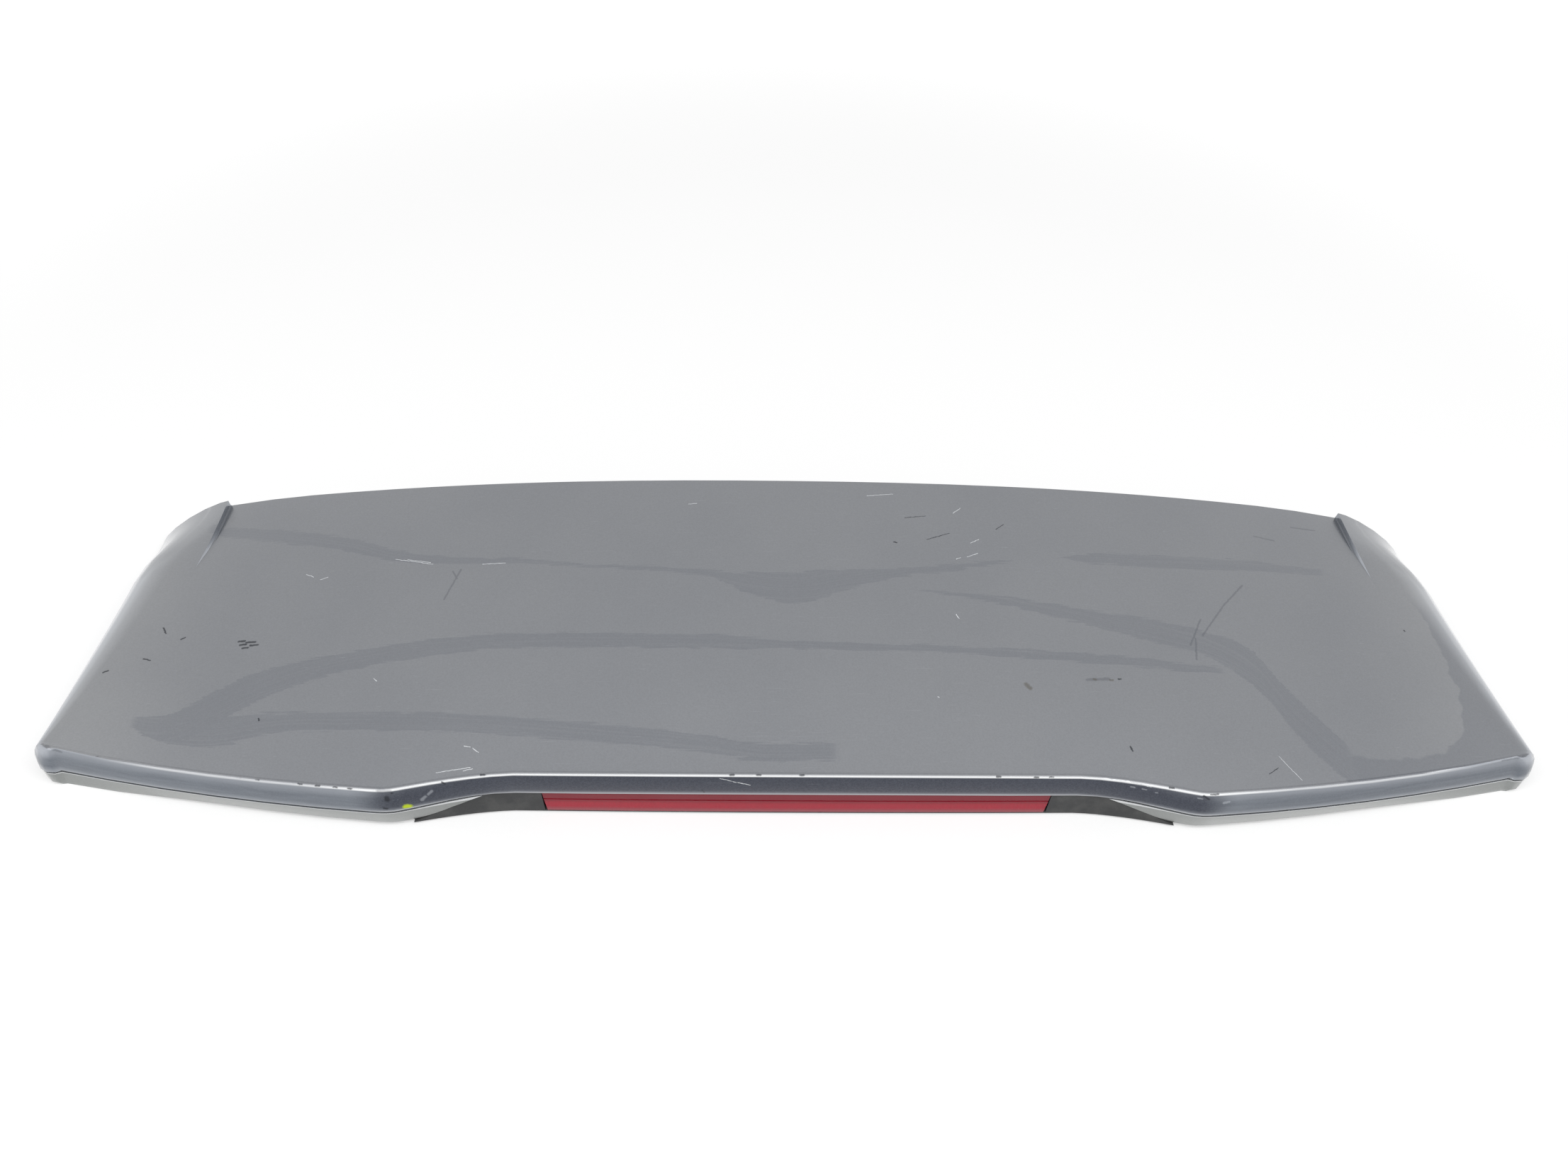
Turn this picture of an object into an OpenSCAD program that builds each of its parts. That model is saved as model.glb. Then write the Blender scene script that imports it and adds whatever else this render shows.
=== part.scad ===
// Car rear spoiler with a third brake light, modelled as it stands on its edges.
// X runs across the car, the trailing edge faces -Y and +Z is up. Millimetres.

/* [Plan outline] */
// Half width across the rear corners, at the crest
corner_x = 595; // [585:1:605]
// Half width across the raised front corners
front_x = 522; // [510:1:532]
// Distance from each end of the lens out to the kink of the trailing edge
kink_past = 116; // [110:1:130]
// Distance from each end of the lens out to where the straight middle ends
recess_past = 20; // [16:1:24]
// How far the middle of the trailing edge is set forward of the kinks
recess_d = 17; // [13:0.5:20]
// Place of the kinks along Y
kink_y = -174; // [-180:1:-170]
// Place of the leading edge along Y
lead_y = 173.7; // [168:0.1:178]
// Forward angle of each wing of the trailing edge at the kink
wing_angle = 5.4; // [4:0.1:7]
// Plan radius of each wing of the trailing edge
wing_r = 1670; // [1400:10:2400]
// Plan radius of the rear corners at the crest
corner_r = 8; // [6:0.5:10]

/* [Heights] */
// Height of the crest in the middle
crest_z = 49; // [47:0.5:54]
// How much lower the crest is at the rear corners
crest_crown = 8; // [4:0.5:9]
// Height of the leading edge in the middle
lead_z = 82; // [78:0.5:90]
// How much lower the leading edge is at its ends
lead_crown = 34; // [28:0.5:36]
// Power of the leading edge's crown curve
lead_power = 2.3; // [2:0.1:2.6]
// Extra rise of the panel half way along the chord
camber = 5; // [3:0.5:8]
// Height of the raised front corners above the panel
horn_h = 6.5; // [3:0.5:8]
// Share of the chord over which the raised corners fade out
horn_fade = 0.36; // [0.28:0.01:0.45]

/* [Sides] */
// Half width at the foot of the side at the rear corner
flank_rear_x = 612.5; // [608:0.5:618]
// Half width at the foot of the side at the front corner
flank_front_x = 592; // [584:1:600]
// Height of the upper shell's lower edge at the front corners
flank_front_z = 5; // [4.5:0.5:7]

/* [Shells] */
// Wall of the upper shell
upper_wall = 3; // [2.6:0.1:3.3]
// Wall of the lower shell
lower_wall = 2.5; // [2:0.1:2.8]
// Radius of the crest's nose
nose_r = 1.7; // [1.2:0.1:2]
// Height of the trailing band in the middle
band_h = 22; // [21:0.5:23]
// Height of the trailing band on the wings
band_wing_h = 25; // [23:0.5:26]
// Bulge of the trailing band at half its height
band_bulge = 0.8; // [0:0.1:1.6]
// How far the band's lower edge leans out on the wings
band_lean = 2.6; // [1:0.1:3.5]
// Depth of the lip at the leading edge
lead_lip = 10; // [9:0.5:11]
// Gap between the two shells where they nest
nest_gap = 0.4; // [0.3:0.05:0.6]
// Height of the groove between the upper shell and the lower shell's lip
groove = 1; // [0.6:0.1:1.4]
// Height of the lower shell's flange inside the band
flange_h = 8; // [6:0.5:9]
// Height of the lower shell's floor behind the rear lip
floor_rear = 6; // [5.5:0.5:8]
// Height of the lower shell's lip under the leading edge
lead_foot = 1.5; // [1.2:0.1:3]
// How far the lower lip's foot is drawn in from the panel's rear edge
lip_foot = 4.7; // [4:0.1:6]
// How far the lower lip's foot stands out from that edge at the rear corners
corner_foot = 2.8; // [1:0.1:3]
// Thickness of the inner ribs
rib_w = 2; // [1.5:0.1:3]
// Gap between the inner ribs and the upper shell
rib_gap = 0.6; // [0.5:0.1:0.9]

/* [Brake light] */
// Width of the lens along its upper edge
lens_w = 408; // [396:2:416]
// Narrowing of the lens at each lower corner
lens_taper = 4; // [2:0.5:6]
// Distance from the crest forward to the lens face
lens_set = 1.2; // [0.8:0.1:2]
// Depth of the lens from its face to its rim
lens_depth = 8.5; // [7.5:0.1:9]
// Wall of the lens
lens_wall = 2.2; // [1.8:0.1:2.6]
// Height of the crease on the lens above its lower edge
lens_crease = 13; // [9:0.5:16]
// Set back of the lens face above the crease
lens_step = 0.5; // [0.3:0.1:0.8]
// Gap between the lens and the band above it
lens_gap = 0.4; // [0.3:0.1:0.9]
// Thickness of the lamp gasket
gasket_t = 0.8; // [0.6:0.1:1.2]
// Thickness of the lamp housing's flange
lamp_flange_t = 2.7; // [2:0.1:3]
// Depth of the lamp housing behind its flange
lamp_depth = 22; // [21:0.5:23]
// Wall of the lamp housing
lamp_wall = 2; // [1.6:0.1:2.2]
// Number of light diodes
led_count = 16; // [12:2:16]
// Distance from each end of the lens in to the nearest diode
led_in = 24; // [20:0.5:26]
// Radius of each reflector cup at its mouth
cup_r = 7; // [6:0.1:7.2]
// Depth of the reflector
cup_depth = 13; // [11:0.5:13.5]
// Thickness of the circuit board
board_t = 1.6; // [1:0.1:2]
// Distance from the middle plane to the lamp's connector
plug_x = 60; // [48:12:84]
// Width of the connector socket
plug_w = 12.6; // [12:0.2:14]
// Height of the connector socket
plug_h = 8.6; // [8:0.2:9.4]
// Depth of the connector socket
plug_deep = 10; // [8:0.5:11]

/* [Lamp trim] */
// Distance from each end of the lens out to the end of the lamp bay's lower edge
bay_foot_past = 106; // [100:1:108]
// Distance from each end of the lens out to the end of the lamp bay's upper edge
bay_top_past = 39; // [36:1:44]
// Depth of the lamp bay from the crest
bay_depth = 12; // [11.5:0.5:12.5]
// Height of the trim's lower face
trim_z = 1.9; // [1.8:0.1:2.2]
// Thickness of the trim's lower flange
trim_t = 1.3; // [1:0.1:1.4]
// Thickness of the trim's face
trim_face = 2.5; // [2:0.1:3]
// Distance from the crest forward to the trim's face
trim_set = 1.6; // [1.4:0.1:2.4]
// Gap round the trim and beside the lens
trim_gap = 0.5; // [0.4:0.1:0.8]
// Distance from each end of the lens out to the trim screw
trim_screw_past = 62; // [58:1:70]

/* [Fixings] */
// Distance from the middle plane to each inner stud
inner_stud_x = 180; // [170:5:190]
// Place of the inner studs along Y
inner_y = 95; // [85:1:105]
// Distance from each rear corner in to the outer stud
outer_stud_in = 140; // [135:5:150]
// Place of the outer studs along Y
outer_y = 60; // [50:1:70]
// Radius of the studs
stud_r = 3; // [2.5:0.5:4]
// Length of the studs below their seats
stud_out = 22; // [18:0.5:24]
// Radius of the stud seats
seat_r = 18; // [17:0.5:19]
// Thickness of the stud seats
seat_t = 10; // [9:0.5:11]
// Radius of the plates that carry the studs
plate_r = 14; // [13.5:0.5:16]
// Thickness of the plates that carry the studs
plate_t = 2; // [1.5:0.1:2.5]
// Thickness of the foam seals under the stud seats
seal_t = 3; // [2:0.5:5]
// Number of clips along the leading edge
clip_count = 5; // [3:2:7]
// Distance from one clip to the next
clip_pitch = 200; // [120:5:205]
// Distance from the leading edge back to the clips
clip_in = 24; // [23:0.5:26]
// Distance from the middle plane to each buffer
buffer_x = 300; // [285:5:310]
// Place of the buffers along Y
buffer_y = -40; // [-50:1:-30]
// Height of the buffers below their seats
buffer_h = 9; // [6:0.5:12]
// Distance from the middle plane to each locating pin
pin_x = 320; // [310:5:330]
// Place of the locating pins along Y
pin_y = 110; // [100:1:120]
// Radius of the locating pins
pin_r = 4; // [3:0.5:5]
// Length of the locating pins below their seats
pin_out = 14; // [10:0.5:18]

/* [Hidden] */
$fn = 36;

// Small helpers for ramps and blends
function clamp01(t) = min(1, max(0, t));
function ease(t) = let(c = clamp01(t)) c * c * (3 - 2 * c);
function mix(a, b, t) = a + (b - a) * t;
function blend(a, b, t) = [mix(a[0], b[0], t), mix(a[1], b[1], t)];
function soft_max(a, b, k) = (a + b + sqrt((a - b) * (a - b) + k * k)) / 2;
function span(a, b, n) = [for (i = [0 : n - 1]) mix(a, b, i / n)];
function flat(lists) = [for (l = lists) each l];
function reversed(l) = [for (i = [len(l) - 1 : -1 : 0]) l[i]];

// Places along X that keep their distance from the ends of the lens
lens_end = lens_w / 2;
recess_x = lens_end + recess_past;
kink_x = lens_end + kink_past;
bay_foot_x = lens_end + bay_foot_past;
bay_top_x = lens_end + bay_top_past;
trim_screw_x = lens_end + trim_screw_past;
led_pitch = 2 * (lens_end - led_in) / (led_count - 1);

// Trailing edge in plan: a straight middle, an S to each kink, then a swept wing
recess_power = 1.55;
kink_soft = 2.5;
mid_bow = 1.2;
function recess_y(a) =
    kink_y + recess_d - mid_bow * (1 - min(1, pow(a / recess_x, 2)))
    - recess_d * pow(max(0, (a - recess_x) / (kink_x - recess_x)), recess_power);
function wing_y(a) =
    kink_y + tan(wing_angle) * (a - kink_x) + pow(max(0, a - kink_x), 2) / (2 * wing_r);
function crest_y(x) = let(a = abs(x)) soft_max(recess_y(a), wing_y(a), kink_soft);
function crest_slope(x) = crest_y(x + 0.5) - crest_y(x - 0.5);

// The rear boundary of the panel lies one nose radius inside the crest
wing_end_x = corner_x - corner_r * 0.75;
end_phi = -90 + atan(crest_slope(wing_end_x));
arc_x = wing_end_x - corner_r * cos(end_phi);
arc_y = crest_y(wing_end_x) - corner_r * sin(end_phi);
function arc_pt(phi) =
    let(r = corner_r - nose_r)
    [arc_x + r * cos(phi), arc_y + r * sin(phi), phi];
function edge_pt(x) =
    let(phi = -90 + atan(crest_slope(x)))
    [x - nose_r * cos(phi), crest_y(x) - nose_r * sin(phi), phi];

// Columns of the grid: closer together round the kinks and at the corner
kink_zone = 14;
mid_columns = 4;
bend_columns = 5;
wing_columns = 6;
half_x = concat(
    span(0, recess_x, mid_columns),
    span(recess_x, kink_x - kink_zone, bend_columns),
    span(kink_x - kink_zone, kink_x + kink_zone, bend_columns),
    span(kink_x + kink_zone, wing_end_x, wing_columns),
    [wing_end_x]);
half_edge = concat([for (x = half_x) edge_pt(x)], [arc_pt(end_phi * 0.75), arc_pt(end_phi / 2)]);
half_n = len(half_edge) - 1;
nu = 2 * half_n;
function mirror_pt(p) = [-p[0], p[1], 180 - p[2]];
rear_edge = concat([for (i = [half_n : -1 : 1]) mirror_pt(half_edge[i])], half_edge);

// The side boundary runs from the corner arc to the raised front corner
side_rows = 12;
row_crowd = 1.35;
corner_back = 4;
front_corner_y = lead_y - corner_back;
side_power = 1.9;
side_start = arc_pt(0);
function side_x(y) =
    let(t = clamp01((front_corner_y - y) / (front_corner_y - side_start[1])))
    mix(front_x, side_start[0], pow(t, side_power));
function row_y(k) = mix(side_start[1], front_corner_y, 1 - pow(1 - k / side_rows, row_crowd));
side_edge = concat(
    [arc_pt(end_phi / 2), arc_pt(end_phi / 4), side_start],
    [for (k = [1 : side_rows]) [side_x(row_y(k)), row_y(k), 0]]);
nv = len(side_edge) - 1;
row_v = [for (s = side_edge) (s[1] - side_edge[0][1]) / (front_corner_y - side_edge[0][1])];

// Leading edge in plan, with its ends drawn back to the corners
lead_straight = 440;
function front_edge_y(x) =
    lead_y - corner_back * pow(max(0, abs(x) - lead_straight) / (front_x - lead_straight), 2);

// Plan point of the grid, with its whole boundary set in by m
function rear_in(i, m) =
    let(e = rear_edge[i])
    [e[0] - m * cos(e[2]), e[1] - m * sin(e[2])];
function side_in(j, m) = side_edge[j][0] - m * cos(side_edge[j][2]);
function plan(i, j, m) =
    let(r = rear_in(i, m), x = r[0] * side_in(j, m) / side_in(0, m))
    [x, mix(r[1], front_edge_y(r[0] * front_x / side_edge[0][0]) - m, row_v[j])];
function grid_u(i) = rear_edge[i][0] / side_edge[0][0];

// Heights of the panel and of the lower shell's floor over the grid
function crest_h(u) = crest_z - crest_crown * u * u;
function lead_h(u) = lead_z - lead_crown * pow(abs(u), lead_power);
function top_h(u, v) = mix(crest_h(u), lead_h(u), v) + camber * 4 * v * (1 - v);
function horn_at(v) = horn_h * ease((v - 1 + horn_fade) / horn_fade);
function side_h(v) = top_h(1, v) + horn_at(v);
floor_power = 1.15;
floor_lead = lead_lip + groove + lead_foot;
function floor_h(u, v) = mix(floor_rear, lead_h(u) - floor_lead, pow(v, floor_power));
function wing_share(x) = ease((abs(x) - recess_x) / (kink_x - recess_x));
function parting_h(x) = mix(band_h, band_wing_h, wing_share(x));

// The same heights over plan places, used by whatever stands on the floor or under the panel
floor_in = 14;
function place_u(x, y, m) = x * (side_edge[0][0] - m) / (side_x(y) - m) / side_edge[0][0];
function place_v(x, y, m) =
    let(rear = crest_y(place_u(x, y, m) * side_edge[0][0]) + nose_r + m)
    clamp01((y - rear) / (lead_y - m - rear));
function floor_at(x, y) = floor_h(place_u(x, y, floor_in), place_v(x, y, floor_in));
function under_panel(x, y) =
    top_h(place_u(x, y, upper_wall), place_v(x, y, upper_wall)) - upper_wall;

// Foot of the side: half width beyond the shoulder, height of the parting line, form of the roll
corner_part_z = crest_z - crest_crown - band_wing_h;
foot_power = 1.5;
foot_fade = 0.8;
function foot_x(v) = mix(flank_front_x, flank_rear_x, pow(1 - v, foot_power));
function flank_w(j) = foot_x(row_v[j]) - side_edge[j][0];
function flank_z(v) = mix(corner_part_z, flank_front_z, ease(v / foot_fade));
roll_rear = 0.8;
roll_front = 1.6;
roll_from = 0.7;
function flank_power(v) = mix(roll_rear, roll_front, ease((v - roll_from) / (1 - roll_from)));

// Boundary loop of a grid, anticlockwise from above, as [i, j] pairs
function loop_of(nu, nv) = concat(
    [for (i = [0 : nu]) [i, 0]],
    [for (j = [1 : nv]) [nu, j]],
    [for (i = [nu - 1 : -1 : 0]) [i, nv]],
    [for (j = [nv - 1 : -1 : 1]) [0, j]]);
edge_loop = loop_of(nu, nv);

// Outward direction at a loop place, and how much of the side's section it has
function on_side(ij) = ij[0] == 0 || ij[0] == nu;
function out_phi(ij) =
    on_side(ij) && ij[1] > 0 ? (ij[0] == 0 ? 180 - side_edge[ij[1]][2] : side_edge[ij[1]][2])
    : ij[1] == 0 ? rear_edge[ij[0]][2]
    : 90;
function turned(phi) = phi > 90 ? 180 - phi : phi;
function side_share(ij) =
    ij[1] == nv ? (on_side(ij) ? 1 : 0)
    : on_side(ij) ? 1 - abs(side_edge[ij[1]][2] / end_phi)
    : ij[0] <= 2 || ij[0] >= nu - 2 ? 1 - abs(turned(rear_edge[ij[0]][2]) / end_phi)
    : 0;

// Thin tray: an outer grid, rings running round its rim, and an inner grid
module tray(outer, rings, inner) {
    rows = len(outer) - 1;
    cols = len(outer[0]) - 1;
    ring_loop = loop_of(cols, rows);
    n = len(ring_loop);
    size = (rows + 1) * (cols + 1);
    function at(base, i, j) = base + j * (cols + 1) + i;
    function at_loop(base, ij) = at(base, ij[0], ij[1]);
    function ring_at(k, a) =
        let(b = a % n)
        k < 0 ? at_loop(0, ring_loop[b])
        : k >= len(rings) ? at_loop(size, ring_loop[b])
        : 2 * size + k * n + b;
    outer_faces = [
        for (j = [0 : rows - 1], i = [0 : cols - 1])
            let(a = at(0, i, j), b = at(0, i + 1, j), c = at(0, i + 1, j + 1), d = at(0, i, j + 1))
            each [[a, d, c], [a, c, b]]];
    inner_faces = [
        for (j = [0 : rows - 1], i = [0 : cols - 1])
            let(a = at(size, i, j), b = at(size, i + 1, j))
            let(c = at(size, i + 1, j + 1), d = at(size, i, j + 1))
            each [[a, c, d], [a, b, c]]];
    rim_faces = [
        for (k = [-1 : len(rings) - 1], a = [0 : n - 1])
            let(p = ring_at(k, a), q = ring_at(k, a + 1))
            let(r = ring_at(k + 1, a + 1), s = ring_at(k + 1, a))
            each [[p, q, r], [p, r, s]]];
    polyhedron(
        concat(flat(outer), flat(inner), flat(rings)),
        concat(outer_faces, inner_faces, rim_faces),
        convexity = 8);
}

// Place of a rim point: loop place, base inset, distance out from the boundary and height
function rim_pt(ij, base, s) =
    let(p = plan(ij[0], ij[1], base), phi = out_phi(ij))
    [p[0] + (s[0] + base) * cos(phi), p[1] + (s[0] + base) * sin(phi), s[1]];
function edge_h(ij) = on_side(ij) ? side_h(row_v[ij[1]]) : top_h(grid_u(ij[0]), row_v[ij[1]]);

// Sections of the upper shell's rim as [distance out, height], from the panel to the foot
function band_foot(x) = nose_r + band_lean * wing_share(x);
function roll(ij, a, wall) =
    let(v = row_v[ij[1]], p = flank_power(v), rise = side_h(v) - wall - flank_z(v))
    [flank_w(ij[1]) * pow(sin(a), p) - wall, flank_z(v) + rise * pow(cos(a), p)];
function band_out(ij, k) =
    let(x = rear_edge[ij[0]][0], h = parting_h(x), z = edge_h(ij), s = band_foot(x))
    [[0.62 * nose_r, z - 0.2 * nose_r],
     [nose_r, z - nose_r],
     [mix(nose_r, s, 0.5) + band_bulge, z - h / 2],
     [s + 0.2, z - h + 3.5],
     [s - 0.6, z - h + 0.9],
     [s - 2, z - h]][k];
function band_in(ij, k) =
    let(x = rear_edge[ij[0]][0], h = parting_h(x), z = edge_h(ij), s = band_foot(x) - upper_wall)
    [[-upper_wall, z - upper_wall],
     [mix(nose_r - upper_wall, s, 0.5), z - h / 2],
     [s + 0.2, z - h + 3.5],
     [s, z - h]][k];
function lead_out(ij, k) =
    let(z = edge_h(ij))
    [[1, z - 0.3],
     [1.6, z - 1.4],
     [2, z - 4],
     [2, z - lead_lip + 1.5],
     [1.5, z - lead_lip + 0.4],
     [0.8, z - lead_lip]][k];
function lead_in(ij, k) =
    let(z = edge_h(ij))
    [[-upper_wall, z - upper_wall],
     [2 - upper_wall, z - 4.5],
     [2 - upper_wall, z - lead_lip + 1.5],
     [-0.2, z - lead_lip]][k];
function upper_out(ij, k) =
    let(side = roll(ij, 90 * (k + 1) / 6, 0), w = side_share(ij))
    w >= 1 ? side : ij[1] == nv ? lead_out(ij, k) : blend(band_out(ij, k), side, w);
function upper_in(ij, k) =
    let(side = roll(ij, 90 * k / 3, upper_wall), w = side_share(ij))
    w >= 1 ? side : ij[1] == nv ? lead_in(ij, k) : blend(band_in(ij, k), side, w);

module upper_shell() {
    outer = [for (j = [0 : nv]) [for (i = [0 : nu])
        let(p = plan(i, j, 0))
        [p[0], p[1], edge_h([i, j])]]];
    inner = [for (j = [0 : nv]) [for (i = [0 : nu])
        let(p = plan(i, j, upper_wall))
        [p[0], p[1], edge_h([i, j]) - upper_wall]]];
    out_rings = [for (k = [0 : 5]) [for (ij = edge_loop) rim_pt(ij, 0, upper_out(ij, k))]];
    in_rings = [for (k = [3 : -1 : 1]) [for (ij = edge_loop) rim_pt(ij, upper_wall, upper_in(ij, k))]];
    color("slategray")
        tray(outer, concat(out_rings, in_rings), inner);
}

// Sections of the lower shell's rim: flange top, flange foot, ledge, lip turn, lip foot
side_flange_h = 4;
side_slack = 0.25;
lip_turn = 0.6;
lip_drop = 0.75;
corner_turn = 0.7;
lip_swell_past = 128;
function lip_share(x) = ease((abs(x) - kink_x - lip_swell_past) / (corner_x - kink_x - lip_swell_past));
corner_in = 4.5;
rim_in = 8;
function flange_in(ij) = upper_wall + (ij[1] == nv && on_side(ij) ? corner_in : 0);
function nest_x(ij, h) =
    let(foot = roll(ij, 90, upper_wall), above = roll(ij, 60, upper_wall))
    mix(foot[0], above[0], h / (above[1] - foot[1])) - nest_gap - side_slack;
function rear_lip(ij, k) =
    let(x = rear_edge[ij[0]][0], s = band_foot(x), f = s - upper_wall - nest_gap)
    let(z = edge_h(ij) - parting_h(x), tilt = (flange_h - 3.5) / (parting_h(x) / 2 - 3.5))
    let(t = f + mix(0.2, (nose_r - s) / 2, tilt), c = lip_share(x), foot = mix(-lip_foot, corner_foot, c))
    [[t, z + flange_h],
     [f, z - groove],
     [s - 0.6, z - groove],
     [mix(-lip_turn, corner_foot + corner_turn, c), (z - groove) * (1 - lip_drop)],
     [foot, 0],
     [t - lower_wall, z + flange_h],
     [f - lower_wall, (z - groove) * 0.45],
     [foot - mix(1.3, 2.6, c), lower_wall + 0.9]][k];
function side_lip(ij, k) =
    let(w = flank_w(ij[1]), f = nest_x(ij, side_flange_h), z = flank_z(row_v[ij[1]]))
    [[f, z + side_flange_h],
     [f, z - groove],
     [w - 1.5, z - groove],
     [w - 4, (z - groove) * (1 - lip_drop)],
     [w - 10, 0],
     [f - lower_wall, z + side_flange_h],
     [f - lower_wall, max((z - groove) * 0.45, lower_wall + 0.5)],
     [w - 11.5, lower_wall + 0.5]][k];
function lead_flange(ij, k) =
    let(z = edge_h(ij), f = 2 - upper_wall - nest_gap, d = lead_lip + groove)
    [[f, z - d + 4.5],
     [f, z - d],
     [f + 0.8, z - d],
     [f - 0.2, z - d - 0.4 * lead_foot],
     [f - 2.6, z - d - 0.8 * lead_foot],
     [f - lower_wall, z - d + 4.5],
     [f - lower_wall, z - d + 1.5],
     [f - lower_wall - 0.6, z - floor_lead + lower_wall + 0.2]][k];
function lower_rim(ij, k) =
    let(w = side_share(ij))
    w >= 1 ? side_lip(ij, k)
    : ij[1] == nv ? lead_flange(ij, k)
    : blend(rear_lip(ij, k), side_lip(ij, k), w);

module lower_tray() {
    panel = [for (j = [0 : nv]) [for (i = [0 : nu])
        let(p = plan(i, j, floor_in))
        [p[0], p[1], floor_h(grid_u(i), row_v[j])]]];
    inside = [for (row = panel) [for (p = row) [p[0], p[1], p[2] + lower_wall]]];
    in_rings = [for (k = [7 : -1 : 5]) [for (ij = edge_loop) rim_pt(ij, rim_in, lower_rim(ij, k))]];
    flange = [for (k = [0 : 1]) [for (ij = edge_loop) rim_pt(ij, flange_in(ij), lower_rim(ij, k))]];
    lip = [for (k = [2 : 4]) [for (ij = edge_loop) rim_pt(ij, 0, lower_rim(ij, k))]];
    tray(inside, concat(in_rings, flange, lip), panel);
}

// Solid between two Y places over an outline drawn in X and Z, and rods that run along Y
module along_y(y0, y1) {
    translate([0, y1, 0])
        rotate([90, 0, 0])
            linear_extrude(y1 - y0)
                children();
}
module rod_y(x, z, r, y0, y1) {
    translate([x, y1, z])
        rotate([90, 0, 0])
            cylinder(h = y1 - y0, r = r);
}

// Lamp bay: it follows the trailing edge in plan and narrows upward in elevation
bay_step = 10;
bay_ends = bay_foot_x + 6;
bay_xs = [for (k = [0 : ceil(2 * bay_ends / bay_step)]) -bay_ends + k * bay_step];
bay_top_z = crest_z - band_h - 0.2;
mid_y = crest_y(0);
module behind_crest(xs, near, far, z0, z1) {
    near_pts = [for (x = xs) [x, crest_y(x) + near]];
    far_pts = [for (x = xs) [x, crest_y(x) + far]];
    translate([0, 0, z0])
        linear_extrude(z1 - z0)
            polygon(concat(near_pts, reversed(far_pts)));
}
module bay_outline(gap) {
    low = -5;
    slope = (bay_foot_x - bay_top_x) / bay_top_z;
    foot = bay_foot_x - gap + slope * -low;
    top = bay_top_x - gap;
    polygon([[-foot, low], [foot, low], [top, bay_top_z], [-top, bay_top_z]]);
}

// The lamp's own outline in X and Z, with its sides and its top and bottom drawn in
lamp_gap = 0.3;
lens_z = trim_z + trim_t + lamp_gap;
lens_top = crest_h(lens_w / 2 / corner_x) - band_h - lens_gap;
lamp_z = (lens_z + lens_top) / 2;
module lamp_outline(dx, dz) {
    top = lens_w / 2 - dx;
    low = top - lens_taper;
    polygon([[-low, lens_z + dz], [low, lens_z + dz], [top, lens_top - dz], [-top, lens_top - dz]]);
}
lens_back = mid_y + lens_set + lens_depth;
flange_y = lens_back + gasket_t;
body_y = flange_y + lamp_flange_t;
back_y = body_y + lamp_depth;
screw_x = lens_w / 2 + 10;
ear_x = screw_x + 9;
ear_h = 6;

// Lamp pocket of the lower shell, round the housing and open to the rear
pocket_x = ear_x + 7;
pocket_room = 5;
pocket_y = back_y + pocket_room;
pocket_z = lens_z;
pocket_top = bay_top_z + 1.2;
boss_r = 4.2;
pilot_r = 1.6;
screw_r = 1.5;
plug_shell = 1.7;
plug_hole = 2;
shroud_w = plug_w + 2 * plug_shell;
shroud_h = plug_h + 2 * plug_shell;
module at_each(list) {
    for (p = list)
        translate(p)
            children();
}
function pair(x, y, z) = [[-x, y, z], [x, y, z]];

// Seats on the floor: each is a flat-faced boss that reaches a little below the sloping floor
seat_drop = 4.2;
clip_seat_r = 9;
clip_drop = 2.4;
clip_seat_t = 7;
buffer_seat_r = 12;
buffer_drop = 3;
buffer_seat_t = 6.4;
outer_stud_x = corner_x - outer_stud_in;
stud_places = concat(pair(inner_stud_x, inner_y, 0), pair(outer_stud_x, outer_y, 0));
clip_y = lead_y - clip_in;
clip_places = [for (k = [0 : clip_count - 1]) [(k - (clip_count - 1) / 2) * clip_pitch, clip_y, 0]];
buffer_places = pair(buffer_x, buffer_y, 0);
pin_places = pair(pin_x, pin_y, 0);
function seated(places, drop) = [for (p = places) [p[0], p[1], floor_at(p[0], p[1]) - drop]];
stud_seats = seated(stud_places, seat_drop);
clip_seats = seated(clip_places, clip_drop);
buffer_seats = seated(buffer_places, buffer_drop);
pin_seats = seated(pin_places, buffer_drop);

// Trim fixing and the hole through which the lamp's plug is reached
trim_screw_y = mid_y + 24;
trim_boss_z = trim_z + trim_t + 0.3;
trim_boss_h = 11;
reach_w = 60;
reach_y0 = pocket_y + lower_wall;
reach_l = 58;
drain_r = 2.5;
drain_x = 500;
drain_y = -110;

// Inner ribs stand on the floor and end just under the upper shell
rib_aside = [60, 70];
rib_places = [[inner_stud_x - rib_aside[0], pocket_y + 7], [outer_stud_x - rib_aside[1], mid_y + 14]];
rib_front_in = 28;
rib_steps = 14;
module rib(x, y0) {
    y1 = lead_y - rib_front_in;
    ys = [for (k = [0 : rib_steps]) mix(y0, y1, k / rib_steps)];
    low = [for (y = ys) [y, floor_at(x, y) + lower_wall / 2]];
    high = [for (y = ys) [y, under_panel(x, y) - rib_gap]];
    translate([x - rib_w / 2, 0, 0])
        rotate([90, 0, 90])
            linear_extrude(rib_w)
                polygon(concat(low, reversed(high)));
}

module pocket_block(wall, front_wall) {
    translate([-pocket_x - wall, mid_y + bay_depth, pocket_z - wall])
        cube([2 * (pocket_x + wall), pocket_y + front_wall - mid_y - bay_depth, pocket_top - pocket_z + 2 * wall]);
}

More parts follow.
